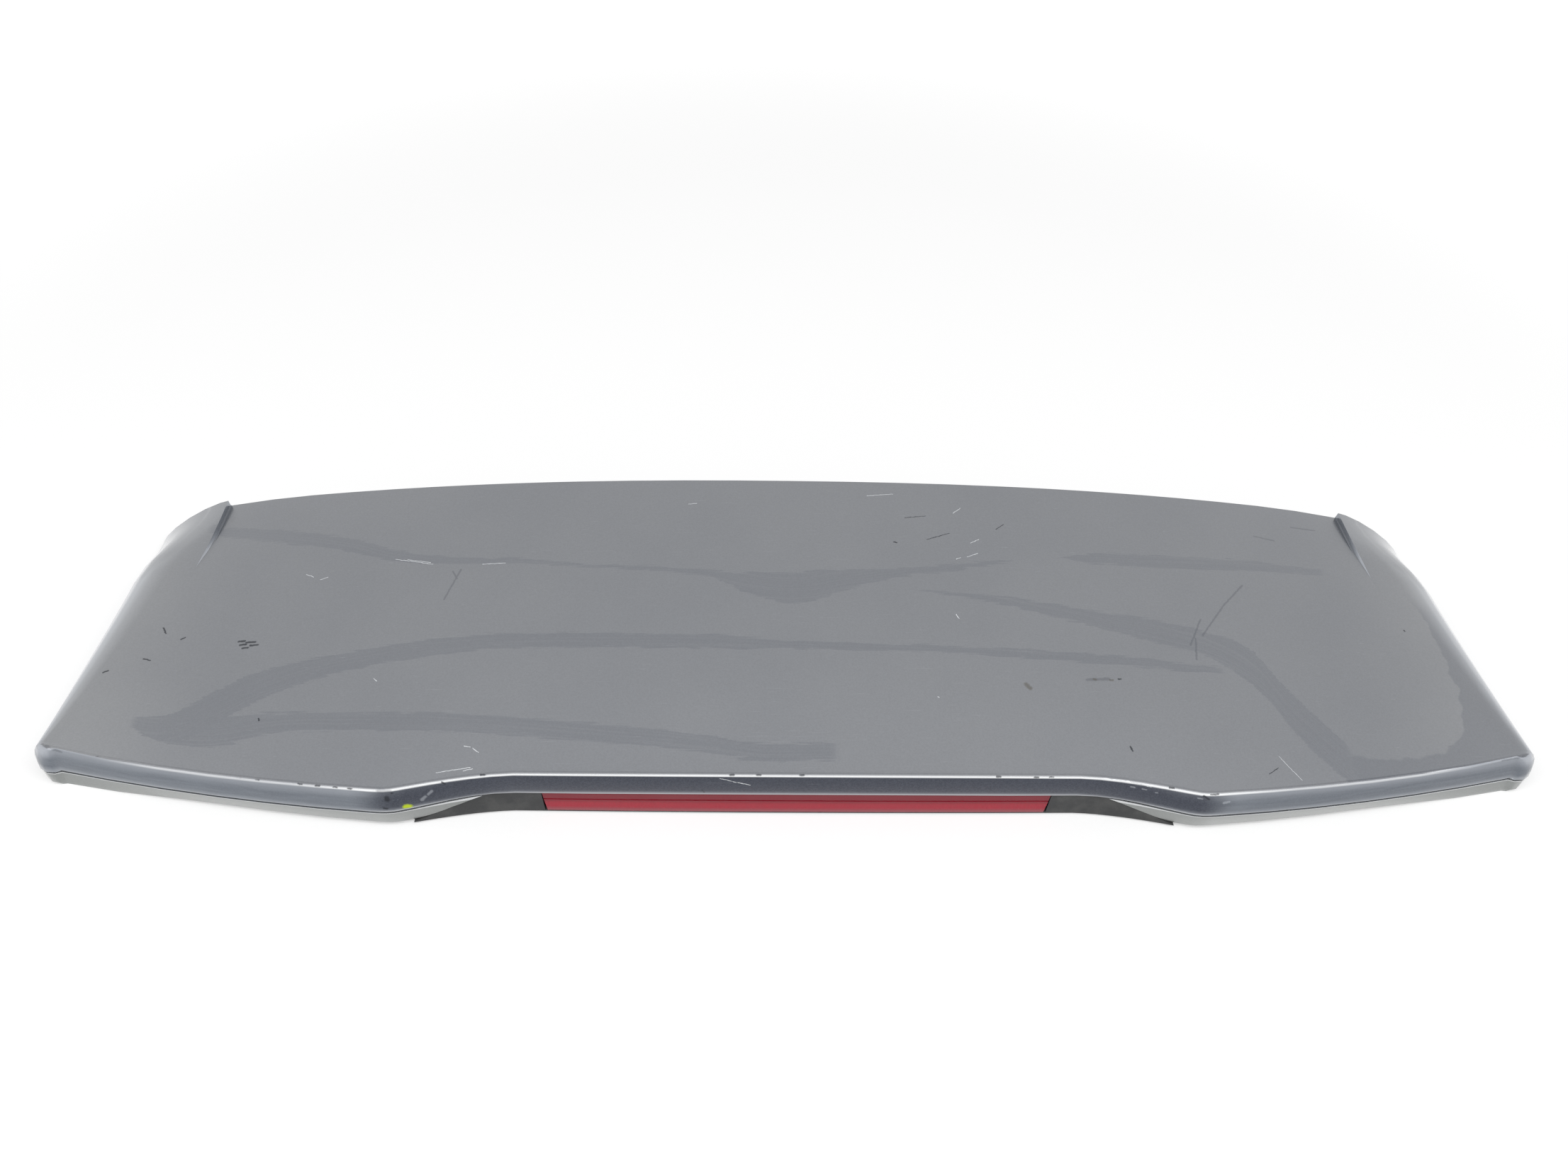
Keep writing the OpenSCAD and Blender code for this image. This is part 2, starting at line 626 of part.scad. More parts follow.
module lower_shell() {
    color("silver")
        difference() {
            union() {
                difference() {
                    union() {
                        lower_tray();
                        pocket_block(lower_wall, lower_wall);
                        translate([-pocket_x, mid_y + nose_r + upper_wall, pocket_top])
                            cube([2 * pocket_x, bay_depth, lower_wall]);
                        for (side = [-1, 1], r = rib_places)
                            rib(side * r[0], r[1]);
                        at_each(stud_seats)
                            cylinder(h = seat_t, r = seat_r);
                        at_each(clip_seats)
                            cylinder(h = clip_seat_t, r = clip_seat_r);
                        at_each(concat(buffer_seats, pin_seats))
                            cylinder(h = buffer_seat_t, r = buffer_seat_r);
                        at_each(pair(trim_screw_x, trim_screw_y, trim_boss_z))
                            cylinder(h = trim_boss_h, r = boss_r);
                    }
                    // Room for the lamp: the bay in the lip, then the pocket behind it
                    intersection() {
                        behind_crest(bay_xs, -20, bay_depth, -1, bay_top_z);
                        along_y(mid_y - 60, mid_y + 60)
                            bay_outline(0);
                    }
                    translate([-pocket_x, mid_y + 8, pocket_z])
                        cube([2 * pocket_x, pocket_y - mid_y - 8, pocket_top - pocket_z]);
                    // Way for the connector, and the hand hole in front of it
                    translate([plug_x - shroud_w / 2 - plug_hole, pocket_y - 1, lamp_z - shroud_h / 2 - plug_hole])
                        cube([shroud_w + 2 * plug_hole, lower_wall + 2, shroud_h + 2 * plug_hole]);
                    translate([plug_x - reach_w / 2, reach_y0, 0])
                        cube([reach_w, reach_l, crest_z - upper_wall - 8]);
                }
                for (x = [-screw_x, screw_x])
                    rod_y(x, lamp_z, boss_r, body_y, pocket_y + 1);
                at_each(pin_seats)
                    mirror([0, 0, 1]) {
                        cylinder(h = pin_out - pin_r / 2, r = pin_r);
                        translate([0, 0, pin_out - pin_r / 2])
                            cylinder(h = pin_r / 2, r1 = pin_r, r2 = pin_r / 2);
                    }
            }
            for (x = [-screw_x, screw_x])
                rod_y(x, lamp_z, pilot_r, body_y - 1, pocket_y - 4);
            at_each(stud_seats) {
                translate([0, 0, -1])
                    cylinder(h = seat_t + 2, r = stud_r + stud_play);
                for (x = [-plate_screw_x, plate_screw_x])
                    translate([x, 0, seat_t - plate_screw_l - 0.5])
                        cylinder(h = plate_screw_l + 1, r = pilot_r);
            }
            at_each(clip_seats)
                translate([0, 0, -1])
                    cylinder(h = clip_seat_t + 2, r = clip_neck_r + clip_play);
            at_each(buffer_seats)
                translate([0, 0, -1])
                    cylinder(h = buffer_seat_t + 2, r = clip_neck_r + clip_play);
            at_each(pair(trim_screw_x, trim_screw_y, trim_boss_z - 1))
                cylinder(h = trim_boss_h - 1, r = pilot_r);
            at_each(pair(drain_x, drain_y, 0))
                cylinder(h = floor_rear + 20, r = drain_r);
        }
}

// Black trim: a face that follows the trailing edge on both sides of the lens, with a flange below
tab_w = 16;
module crest_strip(near, far) {
    near_pts = [for (x = bay_xs) [x, crest_y(x) + near]];
    far_pts = [for (x = bay_xs) [x, crest_y(x) + far]];
    polygon(concat(near_pts, reversed(far_pts)));
}
module lamp_trim() {
    top_z = bay_top_z - 1.8;
    inside = trim_set + trim_face / 2;
    tab_back = crest_y(trim_screw_x) + trim_set + trim_face;
    color("dimgray")
        difference() {
            intersection() {
                union() {
                    difference() {
                        union() {
                            behind_crest(bay_xs, trim_set, trim_set + trim_face, trim_z, top_z);
                            behind_crest(bay_xs, inside, trim_set + 8, top_z - trim_t, top_z + 0.01);
                        }
                        along_y(mid_y - 30, mid_y + 30)
                            lamp_outline(-trim_gap - 0.7, -8);
                    }
                    translate([0, 0, trim_z - 0.01])
                        linear_extrude(trim_t + 0.01) {
                            crest_strip(trim_set + 0.02, bay_depth - trim_gap);
                            for (x = [-trim_screw_x, trim_screw_x])
                                translate([x - tab_w / 2, tab_back])
                                    square([tab_w, trim_screw_y + 5 - tab_back]);
                        }
                }
                along_y(mid_y - 60, mid_y + 60)
                    bay_outline(trim_gap);
            }
            at_each(pair(trim_screw_x, trim_screw_y, trim_z - 1))
                cylinder(h = trim_t + 2, r = screw_r + 0.3);
        }
}

// Pan-head screw that points up from the origin: head below, shank above
module screw(r, head_r, head_h, length) {
    translate([0, 0, -head_h])
        cylinder(h = head_h, r1 = head_r * 0.8, r2 = head_r);
    cylinder(h = length - 1, r = r);
    translate([0, 0, length - 1])
        cylinder(h = 1, r1 = r, r2 = r * 0.5);
}

module trim_screws() {
    color("gray")
        at_each(pair(trim_screw_x, trim_screw_y, trim_z - 0.02))
            screw(screw_r, 3.4, 1.4, trim_boss_h - 2);
}

// Red lens: a shallow cover, bowed like the trailing edge, with a crease along its face
lens_xs = [for (k = [-18 : 18]) k * (lens_w / 2 + 2) / 18];
module lens_body(dx, dz, near, far) {
    intersection() {
        translate([0, 0, lens_z])
            linear_extrude(lens_top - lens_z)
                polygon(concat([for (x = lens_xs) [x, crest_y(x) + near]],
                               [[lens_w / 2 + 2, far], [-lens_w / 2 - 2, far]]));
        along_y(mid_y - 20, mid_y + 40)
            lamp_outline(dx, dz);
    }
}
module lamp_lens() {
    color("firebrick", 0.9)
        difference() {
            lens_body(0, 0, lens_set, lens_back);
            lens_body(lens_wall, lens_wall, lens_set + lens_step + lens_wall, lens_back + 1);
            behind_crest(lens_xs, lens_set - 3, lens_set + lens_step, lens_z + lens_crease, lens_top + 1);
        }
}

module lamp_gasket() {
    color("black")
        along_y(lens_back, flange_y)
            difference() {
                lamp_outline(0.4, 0.4);
                lamp_outline(lens_wall, lens_wall);
            }
}

// Lamp housing: a flanged trough with two ears, board pegs and the connector's socket
body_dx = 4;
body_dz = 1.6;
peg_xs = [-156, -36, 36, 156];
peg_r = 2.5;
board_y = flange_y + 1.7 + cup_depth;
plug_y = back_y + 4;
pin_pitch = 5;
pin_wire_r = 0.5;
pin_hole = 0.2;
pin_z = lamp_z - 1.6;
module lamp_housing() {
    color("darkslategray")
        difference() {
            union() {
                along_y(flange_y, body_y) {
                    lamp_outline(0.6, 0.6);
                    translate([-ear_x, lamp_z - ear_h])
                        square([2 * ear_x, 2 * ear_h]);
                }
                difference() {
                    along_y(flange_y, back_y)
                        lamp_outline(body_dx, body_dz);
                    along_y(flange_y - 1, back_y - lamp_wall)
                        lamp_outline(body_dx + lamp_wall, body_dz + lamp_wall);
                }
                translate([plug_x - shroud_w / 2, back_y - 0.5, lamp_z - shroud_h / 2])
                    cube([shroud_w, plug_y + plug_deep - back_y + 0.5, shroud_h]);
            }
            along_y(flange_y - 1, back_y - lamp_wall)
                lamp_outline(body_dx + lamp_wall, body_dz + lamp_wall);
            translate([plug_x - plug_w / 2, plug_y, lamp_z - plug_h / 2])
                cube([plug_w, plug_deep + 1, plug_h]);
            for (x = [-screw_x, screw_x])
                rod_y(x, lamp_z, screw_r + 0.3, flange_y - 1, body_y + 1);
            for (dx = [-pin_pitch / 2, pin_pitch / 2])
                rod_y(plug_x + dx, pin_z, pin_wire_r + pin_hole, back_y - lamp_wall - 1, plug_y + 1);
        }
    color("darkslategray")
        for (x = peg_xs)
            rod_y(x, lamp_z, peg_r, board_y + board_t, back_y - lamp_wall);
}

// Reflector: one block with a conical cup for each diode
reflector_gap = 0.3;
cup_back_r = 3;
led_xs = [for (k = [0 : led_count - 1]) (k - (led_count - 1) / 2) * led_pitch];
module lamp_reflector() {
    color("gainsboro")
        difference() {
            along_y(board_y - cup_depth, board_y)
                lamp_outline(body_dx + lamp_wall + reflector_gap, body_dz + lamp_wall + reflector_gap);
            for (x = led_xs)
                translate([x, board_y + 0.01, lamp_z])
                    rotate([90, 0, 0])
                        cylinder(h = cup_depth + 0.02, r1 = cup_back_r, r2 = cup_r);
        }
}

board_in = 1.5;
module lamp_board() {
    color("darkgreen")
        difference() {
            along_y(board_y, board_y + board_t)
                lamp_outline(body_dx + lamp_wall + board_in, body_dz + lamp_wall + board_in);
            for (dx = [-pin_pitch / 2, pin_pitch / 2])
                rod_y(plug_x + dx, pin_z, pin_wire_r + pin_hole, board_y - 1, board_y + board_t + 1);
        }
}

led_size = 3.4;
led_t = 1.6;
module lamp_leds() {
    color("crimson")
        for (x = led_xs)
            translate([x - led_size / 2, board_y - led_t, lamp_z - led_size / 2])
                cube([led_size, led_t, led_size]);
}

chip = [3.2, 0.6, 1.6];
module lamp_resistors() {
    color("black")
        for (x = led_xs)
            translate([x + led_pitch / 4, board_y + board_t, lamp_z + 3])
                cube(chip);
}

module lamp_terminals() {
    color("goldenrod")
        for (dx = [-pin_pitch / 2, pin_pitch / 2])
            rod_y(plug_x + dx, pin_z, pin_wire_r, board_y + 0.2, plug_y + plug_deep - 2);
}

module lamp_screws() {
    color("gray")
        for (x = [-screw_x, screw_x])
            translate([x, flange_y, lamp_z])
                rotate([-90, 0, 0])
                    screw(screw_r, 3.2, 2, lamp_flange_t + 12);
}

// Fixings: headed studs through round plates, foam seals, edge clips and rubber buffers
stud_play = 0.6;
shoulder = 0.3;
shoulder_out = 0.6;
plate_screw_x = 10;
plate_screw_l = 7;
head_r = 6;
head_t = 2;
module mounting_studs() {
    tip = 1;
    color("silver")
        at_each(stud_seats) {
            translate([0, 0, seat_t + plate_t])
                cylinder(h = head_t, r = head_r);
            // The shoulder fills the seat's bore and ends just below it
            translate([0, 0, -shoulder_out])
                cylinder(h = shoulder_out + seat_t + plate_t + head_t / 2, r = stud_r + shoulder);
            translate([0, 0, tip - stud_out])
                cylinder(h = stud_out - tip - shoulder_out, r = stud_r);
            translate([0, 0, -stud_out])
                cylinder(h = tip, r1 = stud_r - tip, r2 = stud_r);
        }
}

module stud_plates() {
    color("lightsteelblue")
        at_each(stud_seats)
            translate([0, 0, seat_t])
                difference() {
                    cylinder(h = plate_t, r = plate_r);
                    translate([0, 0, -1])
                        cylinder(h = plate_t + 2, r = stud_r + shoulder + 0.2);
                    for (x = [-plate_screw_x, plate_screw_x])
                        translate([x, 0, -1])
                            cylinder(h = plate_t + 2, r = screw_r + 0.2);
                }
}

module plate_screws() {
    color("gray")
        at_each(stud_seats)
            for (x = [-plate_screw_x, plate_screw_x])
                translate([x, 0, seat_t + plate_t])
                    rotate([180, 0, 0])
                        screw(screw_r, 2.6, 1.4, plate_screw_l + plate_t);
}

seal_hole_r = 7;
seal_edge = 1.5;
module stud_seals() {
    color("dimgray")
        at_each(stud_seats)
            translate([0, 0, -seal_t])
                difference() {
                    cylinder(h = seal_t, r = seat_r - seal_edge);
                    translate([0, 0, -1])
                        cylinder(h = seal_t + 2, r = seal_hole_r);
                }
}

clip_neck_r = 3;
clip_play = 0.2;
clip_flange_r = 7.5;
clip_out = 15;
module front_clips() {
    profile = [
        [0, clip_seat_t + 1.6], [3, clip_seat_t + 1.6], [4.2, clip_seat_t], [clip_neck_r, clip_seat_t],
        [clip_neck_r, 0], [clip_flange_r, 0], [clip_flange_r - 1, -1.6], [3.2, -1.6],
        [3.2, -clip_out * 0.5], [4.6, -clip_out * 0.62], [1.6, -clip_out], [0, -clip_out]];
    color("whitesmoke")
        at_each(clip_seats)
            rotate_extrude()
                polygon(profile);
}

// Rubber strip stuck under the leading edge, swept along the grid's own columns
strip_in = 5;
strip_w = 7;
strip_t = 6;
strip_ends = 3;
strip_gap = 0.1;
module front_seal() {
    section = [
        [strip_in, 0], [strip_in, 0.7], [strip_in + 0.15 * strip_w, 0.95], [strip_in + strip_w / 2, 1],
        [strip_in + 0.85 * strip_w, 0.95], [strip_in + strip_w, 0.7], [strip_in + strip_w, 0]];
    n = len(section);
    rings = [for (i = [strip_ends : nu - strip_ends]) [for (s = section)
        let(p = plan(i, nv, s[0]))
        [p[0], p[1], edge_h([i, nv]) - floor_lead - strip_gap - strip_t * s[1]]]];
    last = len(rings) - 1;
    sides = [for (k = [0 : last - 1], a = [0 : n - 1])
        let(b = (a + 1) % n, p = k * n + a, q = k * n + b)
        each [[p, q, q + n], [p, q + n, p + n]]];
    ends = [[for (a = [n - 1 : -1 : 0]) a], [for (a = [0 : n - 1]) last * n + a]];
    color("black")
        polyhedron(flat(rings), concat(sides, ends), convexity = 4);
}

buffer_r = 10;
module rubber_buffers() {
    profile = [
        [0, buffer_seat_t + 2], [2.6, buffer_seat_t + 2], [4.2, buffer_seat_t],
        [clip_neck_r, buffer_seat_t], [clip_neck_r, 0], [buffer_r, 0], [buffer_r, -buffer_h * 0.4],
        [buffer_r * 0.8, -buffer_h * 0.85], [buffer_r * 0.5, -buffer_h], [0, -buffer_h]];
    color("black")
        at_each(buffer_seats)
            rotate_extrude()
                polygon(profile);
}

upper_shell();
lower_shell();
lamp_trim();
trim_screws();
lamp_lens();
lamp_gasket();
lamp_housing();
lamp_reflector();
lamp_board();
lamp_leds();
lamp_resistors();
lamp_terminals();
lamp_screws();
mounting_studs();
stud_plates();
plate_screws();
stud_seals();
front_clips();
front_seal();
rubber_buffers();
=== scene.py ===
"""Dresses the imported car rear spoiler: paint, red lens, black trim, lamp parts, fixings, camera and studio.

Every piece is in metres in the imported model's own frame: X across the car, the trailing edge faces -Y, Z is up.
"""
import logging
import math
from collections.abc import Callable, Iterable
from dataclasses import dataclass
from enum import Enum
from functools import cached_property
from typing import Protocol

import bmesh
import bpy
from mathutils import Matrix, Vector


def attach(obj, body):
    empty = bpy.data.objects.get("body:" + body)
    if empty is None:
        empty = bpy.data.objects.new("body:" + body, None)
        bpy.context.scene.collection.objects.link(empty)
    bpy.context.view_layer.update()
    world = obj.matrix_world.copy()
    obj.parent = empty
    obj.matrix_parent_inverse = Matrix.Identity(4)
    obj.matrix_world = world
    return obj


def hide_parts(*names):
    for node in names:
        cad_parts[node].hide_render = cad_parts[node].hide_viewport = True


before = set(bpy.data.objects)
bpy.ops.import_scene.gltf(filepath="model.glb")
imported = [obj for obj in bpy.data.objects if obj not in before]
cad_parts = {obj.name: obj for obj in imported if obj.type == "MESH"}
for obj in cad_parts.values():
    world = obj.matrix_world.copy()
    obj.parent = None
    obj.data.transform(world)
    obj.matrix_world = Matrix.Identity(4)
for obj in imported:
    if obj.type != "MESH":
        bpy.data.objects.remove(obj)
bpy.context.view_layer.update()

Socket = bpy.types.NodeSocket
MM = 0.001
# Height of the crest in the middle, how much lower it is at the rear corners, and their half width
CREST_Z, CREST_CROWN, CORNER_X = 49.0, 8.0, 593.0
# Distances from the middle between which the S of the trailing edge turns into a wing
WING_START, WING_FULL = 318.0, 352.0
# Size of a metal flake's cell, coarser than a real flake of 0.03 mm so that it shows, and of the clear coat's ripples
FLAKE_MM, PEEL_MM = 0.9, 5.0
# Stretches of a grain: drawn out across the car, and drawn out level
ACROSS, LEVEL = (14.0, 1.0, 1.0), (14.0, 14.0, 1.0)
LOG = logging.getLogger("spoiler")


# Colour and node helpers


def linear(colour: str) -> tuple[float, float, float, float]:
    """Turns a written colour into the renderer's linear values.

    Args:
        colour: An sRGB colour such as "#3B4052".

    Returns:
        Red, green, blue and an alpha of one.
    """
    parts = [int(colour[k:k + 2], 16) / 255.0 for k in (1, 3, 5)]
    red, green, blue = (p / 12.92 if p <= 0.04045 else ((p + 0.055) / 1.055) ** 2.4 for p in parts)
    return red, green, blue, 1.0


def add(tree: bpy.types.NodeTree, kind: str, feeds: dict | None = None, **settings: object) -> bpy.types.Node:
    """Adds one node to a tree, with its settings and its links.

    Args:
        tree: The node tree that takes the node.
        kind: The node's type, without the word that shader nodes start with.
        feeds: What goes into each input, by name or number: a socket, a node or a fixed value.
        settings: The node's own settings, such as operation.

    Returns:
        The new node.
    """
    node = tree.nodes.new(kind if kind.startswith("Node") else "ShaderNode" + kind)
    for key, value in settings.items():
        setattr(node, key, value)
    for key, value in (feeds or {}).items():
        if isinstance(value, bpy.types.Node):
            value = value.outputs[0]
        if isinstance(value, Socket):
            tree.links.new(value, node.inputs[key])
        else:
            node.inputs[key].default_value = value
    return node


def empty_tree(owner: bpy.types.Material | bpy.types.World) -> bpy.types.NodeTree:
    """Gives the node tree of a new material or world, without any node."""
    owner.use_nodes = True
    owner.node_tree.nodes.clear()
    return owner.node_tree


def stand(name: str, data: bpy.types.ID) -> bpy.types.Object:
    """Makes an object from a mesh, a light or a camera and puts it into the scene."""
    thing = bpy.data.objects.new(name, data)
    bpy.context.scene.collection.objects.link(thing)
    return thing


class Surface:
    """A new material: its node tree, its shader, and the place and facing of each point on the object."""

    def __init__(self, name: str, **constants: object) -> None:
        """Makes the material.

        Args:
            name: The material's name.
            constants: Fixed values of the shader's own sockets, by name with underscores.
        """
        self.material = bpy.data.materials.new(name)
        self.tree = empty_tree(self.material)
        coordinates = self.add("TexCoord")
        self.place = self.add("VectorMath", {0: coordinates.outputs["Object"], "Scale": 1.0 / MM},
                              operation="SCALE").outputs[0]
        self.right, self.ahead, self.up = self.add("SeparateXYZ", {0: coordinates.outputs["Normal"]}).outputs
        self.x, self.y, self.z = self.add("SeparateXYZ", {0: self.place}).outputs
        self.shader = self.add("BsdfPrincipled")
        self.add("OutputMaterial", {"Surface": self.shader})
        for key, value in constants.items():
            self.shader.inputs[key.replace("_", " ")].default_value = value

    def add(self, kind: str, feeds: dict | None = None, **settings: object) -> bpy.types.Node:
        """Adds a node to this material's tree."""
        return add(self.tree, kind, feeds, **settings)

    def math(self, operation: str, *values: object, clamp: bool = False) -> Socket:
        """Gives the outcome of one arithmetic step, such as MULTIPLY, on one to three values."""
        return self.add("Math", dict(enumerate(values)), operation=operation, use_clamp=clamp).outputs[0]

    def times(self, first: object, second: object) -> Socket:
        """Gives the product of two values."""
        return self.math("MULTIPLY", first, second)

    def feed(self, socket: str, value: Socket) -> None:
        """Links a value to one of the shader's sockets."""
        self.tree.links.new(value, self.shader.inputs[socket])

    def grain(self, size: float, detail: float = 2.0, stretch: tuple[float, float, float] = (1, 1, 1)) -> Socket:
        """Gives an uneven value about 0.5 that changes over a given distance.

        Args:
            size: Size of one patch in millimetres.
            detail: How many finer layers it has.
            stretch: How many times longer a patch is along each axis.

        Returns:
            The value's socket.
        """
        scale = tuple(1.0 / (size * s) for s in stretch)
        spread = self.add("VectorMath", {0: self.place, 1: scale}, operation="MULTIPLY")
        return self.add("TexNoise", {"Vector": spread, "Scale": 1.0, "Detail": detail}).outputs[0]

    def ramp(self, value: object, low: float, high: float, start: float = 0.0, end: float = 1.0) -> Socket:
        """Turns the range from low to high smoothly into the range from start to end."""
        return self.add("MapRange", {0: value, 1: low, 2: high, 3: start, 4: end},
                        interpolation_type="SMOOTHSTEP").outputs[0]

    def tint(self, share: object, below: object, above: object) -> Socket:
        """Blends two colours, each a written colour or a socket, by a share."""
        pair = [linear(c) if isinstance(c, str) else c for c in (below, above)]
        return self.add("Mix", {0: share, 6: pair[0], 7: pair[1]}, data_type="RGBA").outputs[2]

    def flakes(self) -> Socket:
        """Gives a small share that differs from one metal flake to the next."""
        cells = self.add("TexVoronoi", {"Vector": self.place, "Scale": 1.0 / FLAKE_MM})
        flake = self.add("SeparateColor", {0: cells.outputs["Color"]})
        return self.ramp(flake, 0.0, 1.0, 0.0, 0.05)

    @cached_property
    def aside(self) -> Socket:
        """How far each place is from the car's middle, in millimetres."""
        return self.math("ABSOLUTE", self.x)

    @cached_property
    def below_crest(self) -> Socket:
        """How far each place lies below the crest of the trailing edge, in millimetres."""
        share = self.times(self.x, 1.0 / CORNER_X)
        square = self.times(share, share)
        crest = self.math("MULTIPLY_ADD", square, -CREST_CROWN, CREST_Z)
        return self.math("SUBTRACT", crest, self.z)

    def relief(self, height: object, depth: float, strength: float = 1.0) -> None:
        """Raises the surface by a height value times a depth in millimetres, over any relief that it has."""
        feeds = {"Height": height, "Distance": depth * MM, "Strength": strength}
        linked = self.shader.inputs["Normal"].links
        if linked:
            feeds["Normal"] = linked[0].from_socket
        self.feed("Normal", self.add("Bump", feeds).outputs[0])


# Marks on the paint: their places in millimetres on the part


class MarkKind(Enum):
    """What made a mark on the paint."""

    FAINT = "dust rubbed off along a line, only a shade darker"
    PALE = "clear coat scuffed dull white"
    DARK = "paint lost or scuffed down to the black plastic"
    LIGHT = "clear coat scratched or broken white"
    BROWN = "dried brown spot"
    GREEN = "spot of yellow-green paint"


@dataclass(frozen=True)
class Mark:
    """A straight mark from one place to another, with a rounded end.

    Attributes:
        kind: What made it.
        start: Its first end.
        end: Its other end.
        half: Half of its width.
    """

    kind: MarkKind
    start: tuple[float, float, float]
    end: tuple[float, float, float]
    half: float


def panel_marks(kind: MarkKind, half: float, ends: Iterable[tuple[float, float, float, float]]) -> list[Mark]:
    """Makes marks on the panel, where only X and Y matter.

    Args:
        kind: What made them.
        half: Half of their width.
        ends: X and Y of the start and of the end of each.

    Returns:
        The marks, all at height zero.
    """
    return [Mark(kind, (x0, y0, 0.0), (x1, y1, 0.0), half) for x0, y0, x1, y1 in ends]


def edge_marks(kind: MarkKind, places: Iterable[tuple[float, ...]]) -> list[Mark]:
    """Makes marks on the crest and the band.

    Args:
        kind: What made them.
        places: X, Y and Z of the start and of the end of each, and half of its width.

    Returns:
        The marks.
    """
    return [Mark(kind, place[:3], place[3:6], place[6]) for place in places]


def crest_chips(places: Iterable[tuple[float, float, float, float]]) -> list[Mark]:
    """Makes the chips along the crest of the trailing edge, 2.8 mm long and 2 mm wide.

    Args:
        places: X and Y of the left end, Y of the right end, and Z of each.

    Returns:
        The chips.
    """
    length, half = 2.8, 1.0
    return [Mark(MarkKind.DARK, (x, y, z), (x + length, y_end, z), half) for x, y, y_end, z in places]


PANEL_MARKS = [
    *panel_marks(MarkKind.DARK, 1.2, [
        (-468, -17.5, -463, -17), (-461, -19, -454, -18.5), (-466, -21.5, -461, -21), (-457, -22.5, -451, -22),
        (-463, -25.5, -459, -25)]),
    *panel_marks(MarkKind.DARK, 0.8, [
        (-537, 3, -533, -4), (-544, -33, -538, -35), (-574, -47, -570, -45), (-433, -102, -432, -104),
        (-518, -12, -515, -10), (91, 94, 93, 93), (537, 13, 537.5, 12), (269, -60, 271, -60),
        (268, -128, 269, -132)]),
    *panel_marks(MarkKind.DARK, 0.45, [
        (103, 126, 122, 129), (121, 98, 142, 107), (185, 114, 193, 121), (376, -152, 385, -146)]),
    *panel_marks(MarkKind.FAINT, 0.9, [
        (-301, 24, -291, 60), (-298, 58, -293, 49), (401, 57, 378, 30), (378, 30, 351, -8), (353, 11, 338, -20),
        (344, -12, 340, -36), (429, 127, 447, 123), (470, 146, 493, 145)]),
    *panel_marks(MarkKind.LIGHT, 0.32, [
        (-351, 76, -317, 68), (-340, 75, -319, 70), (-273, 66, -253, 67), (-427, 62, -420, 58), (-413, 54, -407, 57),
        (-94, 141, -87, 142), (-265, -131, -260, -132), (-258, -133, -253, -137), (-284, -156, -258, -151),
        (-263, -154, -256, -152), (-347, -63, -344, -66), (148, 134, 155, 141), (160, 95, 168, 100),
        (155, 77, 165, 82), (145, 74, 149, 76), (70, 155, 94, 158), (116, -81, 117, -82), (139, 8, 141, 3)]),
    *panel_marks(MarkKind.LIGHT, 0.2, [(388, -135, 402, -157)]),
    *panel_marks(MarkKind.FAINT, 1.7, [(243, -61, 261, -60)]),
    *panel_marks(MarkKind.BROWN, 2.1, [(190.5, -67, 193.5, -71)]),
    *panel_marks(MarkKind.BROWN, 1.1, [(248, -60.5, 250, -60.5), (262, -61, 264, -61)])]

EDGE_MARKS = [
    *edge_marks(MarkKind.DARK, [
        (-320.4, -174.3, 38.0, -320.2, -174.5, 36.6, 2.4), (-323.4, -175.5, 27.7, -321.4, -175.6, 27.2, 1.2),
        (-316.6, -172.9, 42.6, -315.9, -172.7, 42.4, 0.9), (-278.3, -163.6, 45.4, -276.2, -163.8, 43.4, 0.9),
        (-76, -158.3, 31.5, -74.3, -157.6, 28.3, 0.8), (319.5, -173.1, 43.8, 324, -174, 40.6, 1.1),
        (325, -172.2, 45, 331, -171.6, 45, 0.9)]),
    *crest_chips([
        (-438.1, -158.4, -158.8, 43.4), (-423.6, -160.6, -160.9, 43.7), (-389.5, -165.3, -165.7, 44.3),
        (-375.5, -167.1, -167.4, 44.6), (-361.5, -168.9, -169.2, 44.9), (-350.2, -170.3, -170.7, 45),
        (-503.1, -147.6, -147.9, 42), (-554.5, -134.8, -135.2, 40.9), (-249, -157.4, -157.4, 46.8),
        (-54, -157, -157, 48), (-33, -157, -157, 48), (1, -156.9, -156.9, 48.1), (157, -156.8, -156.8, 47.5),
        (187, -157, -157, 47.1), (199, -157, -157, 47), (293.5, -166.2, -166.9, 46.2)]),
    *edge_marks(MarkKind.FAINT, [
        (-326, -171.9, 44.6, -318, -172.9, 44.2, 2.2), (576, -130.0, 39.6, 594, -126.1, 39.9, 0.9),
        (-597, -123.9, 40, -584, -128.7, 38.4, 1.2)]),
    *edge_marks(MarkKind.GREEN, [
        (-307.5, -173, 27, -304.5, -172.3, 26.4, 2.4)]),
    *edge_marks(MarkKind.PALE, [
        (-294.6, -169.5, 31.4, -292.2, -168.8, 33.6, 1.7), (-289.4, -167.8, 36, -287, -167, 38.2, 1.4),
        (263.6, -161.9, 41.9, 267, -162.5, 41.7, 0.7), (273, -163.5, 41.3, 276, -164.2, 41, 0.7),
        (283, -165.9, 39.9, 285, -166.3, 39.7, 0.6), (315.3, -172.8, 41.3, 319, -173.4, 40.8, 0.7),
        (337.1, -173.6, 36.5, 341, -173, 37.2, 1.3)]),
    *edge_marks(MarkKind.LIGHT, [
        (242, -157.6, 46.7, 262, -160.4, 46.4, 0.5), (264, -161, 46.1, 279, -164.4, 44.7, 0.5),
        (-62, -158.2, 45, -38, -158.9, 38, 0.35)])]


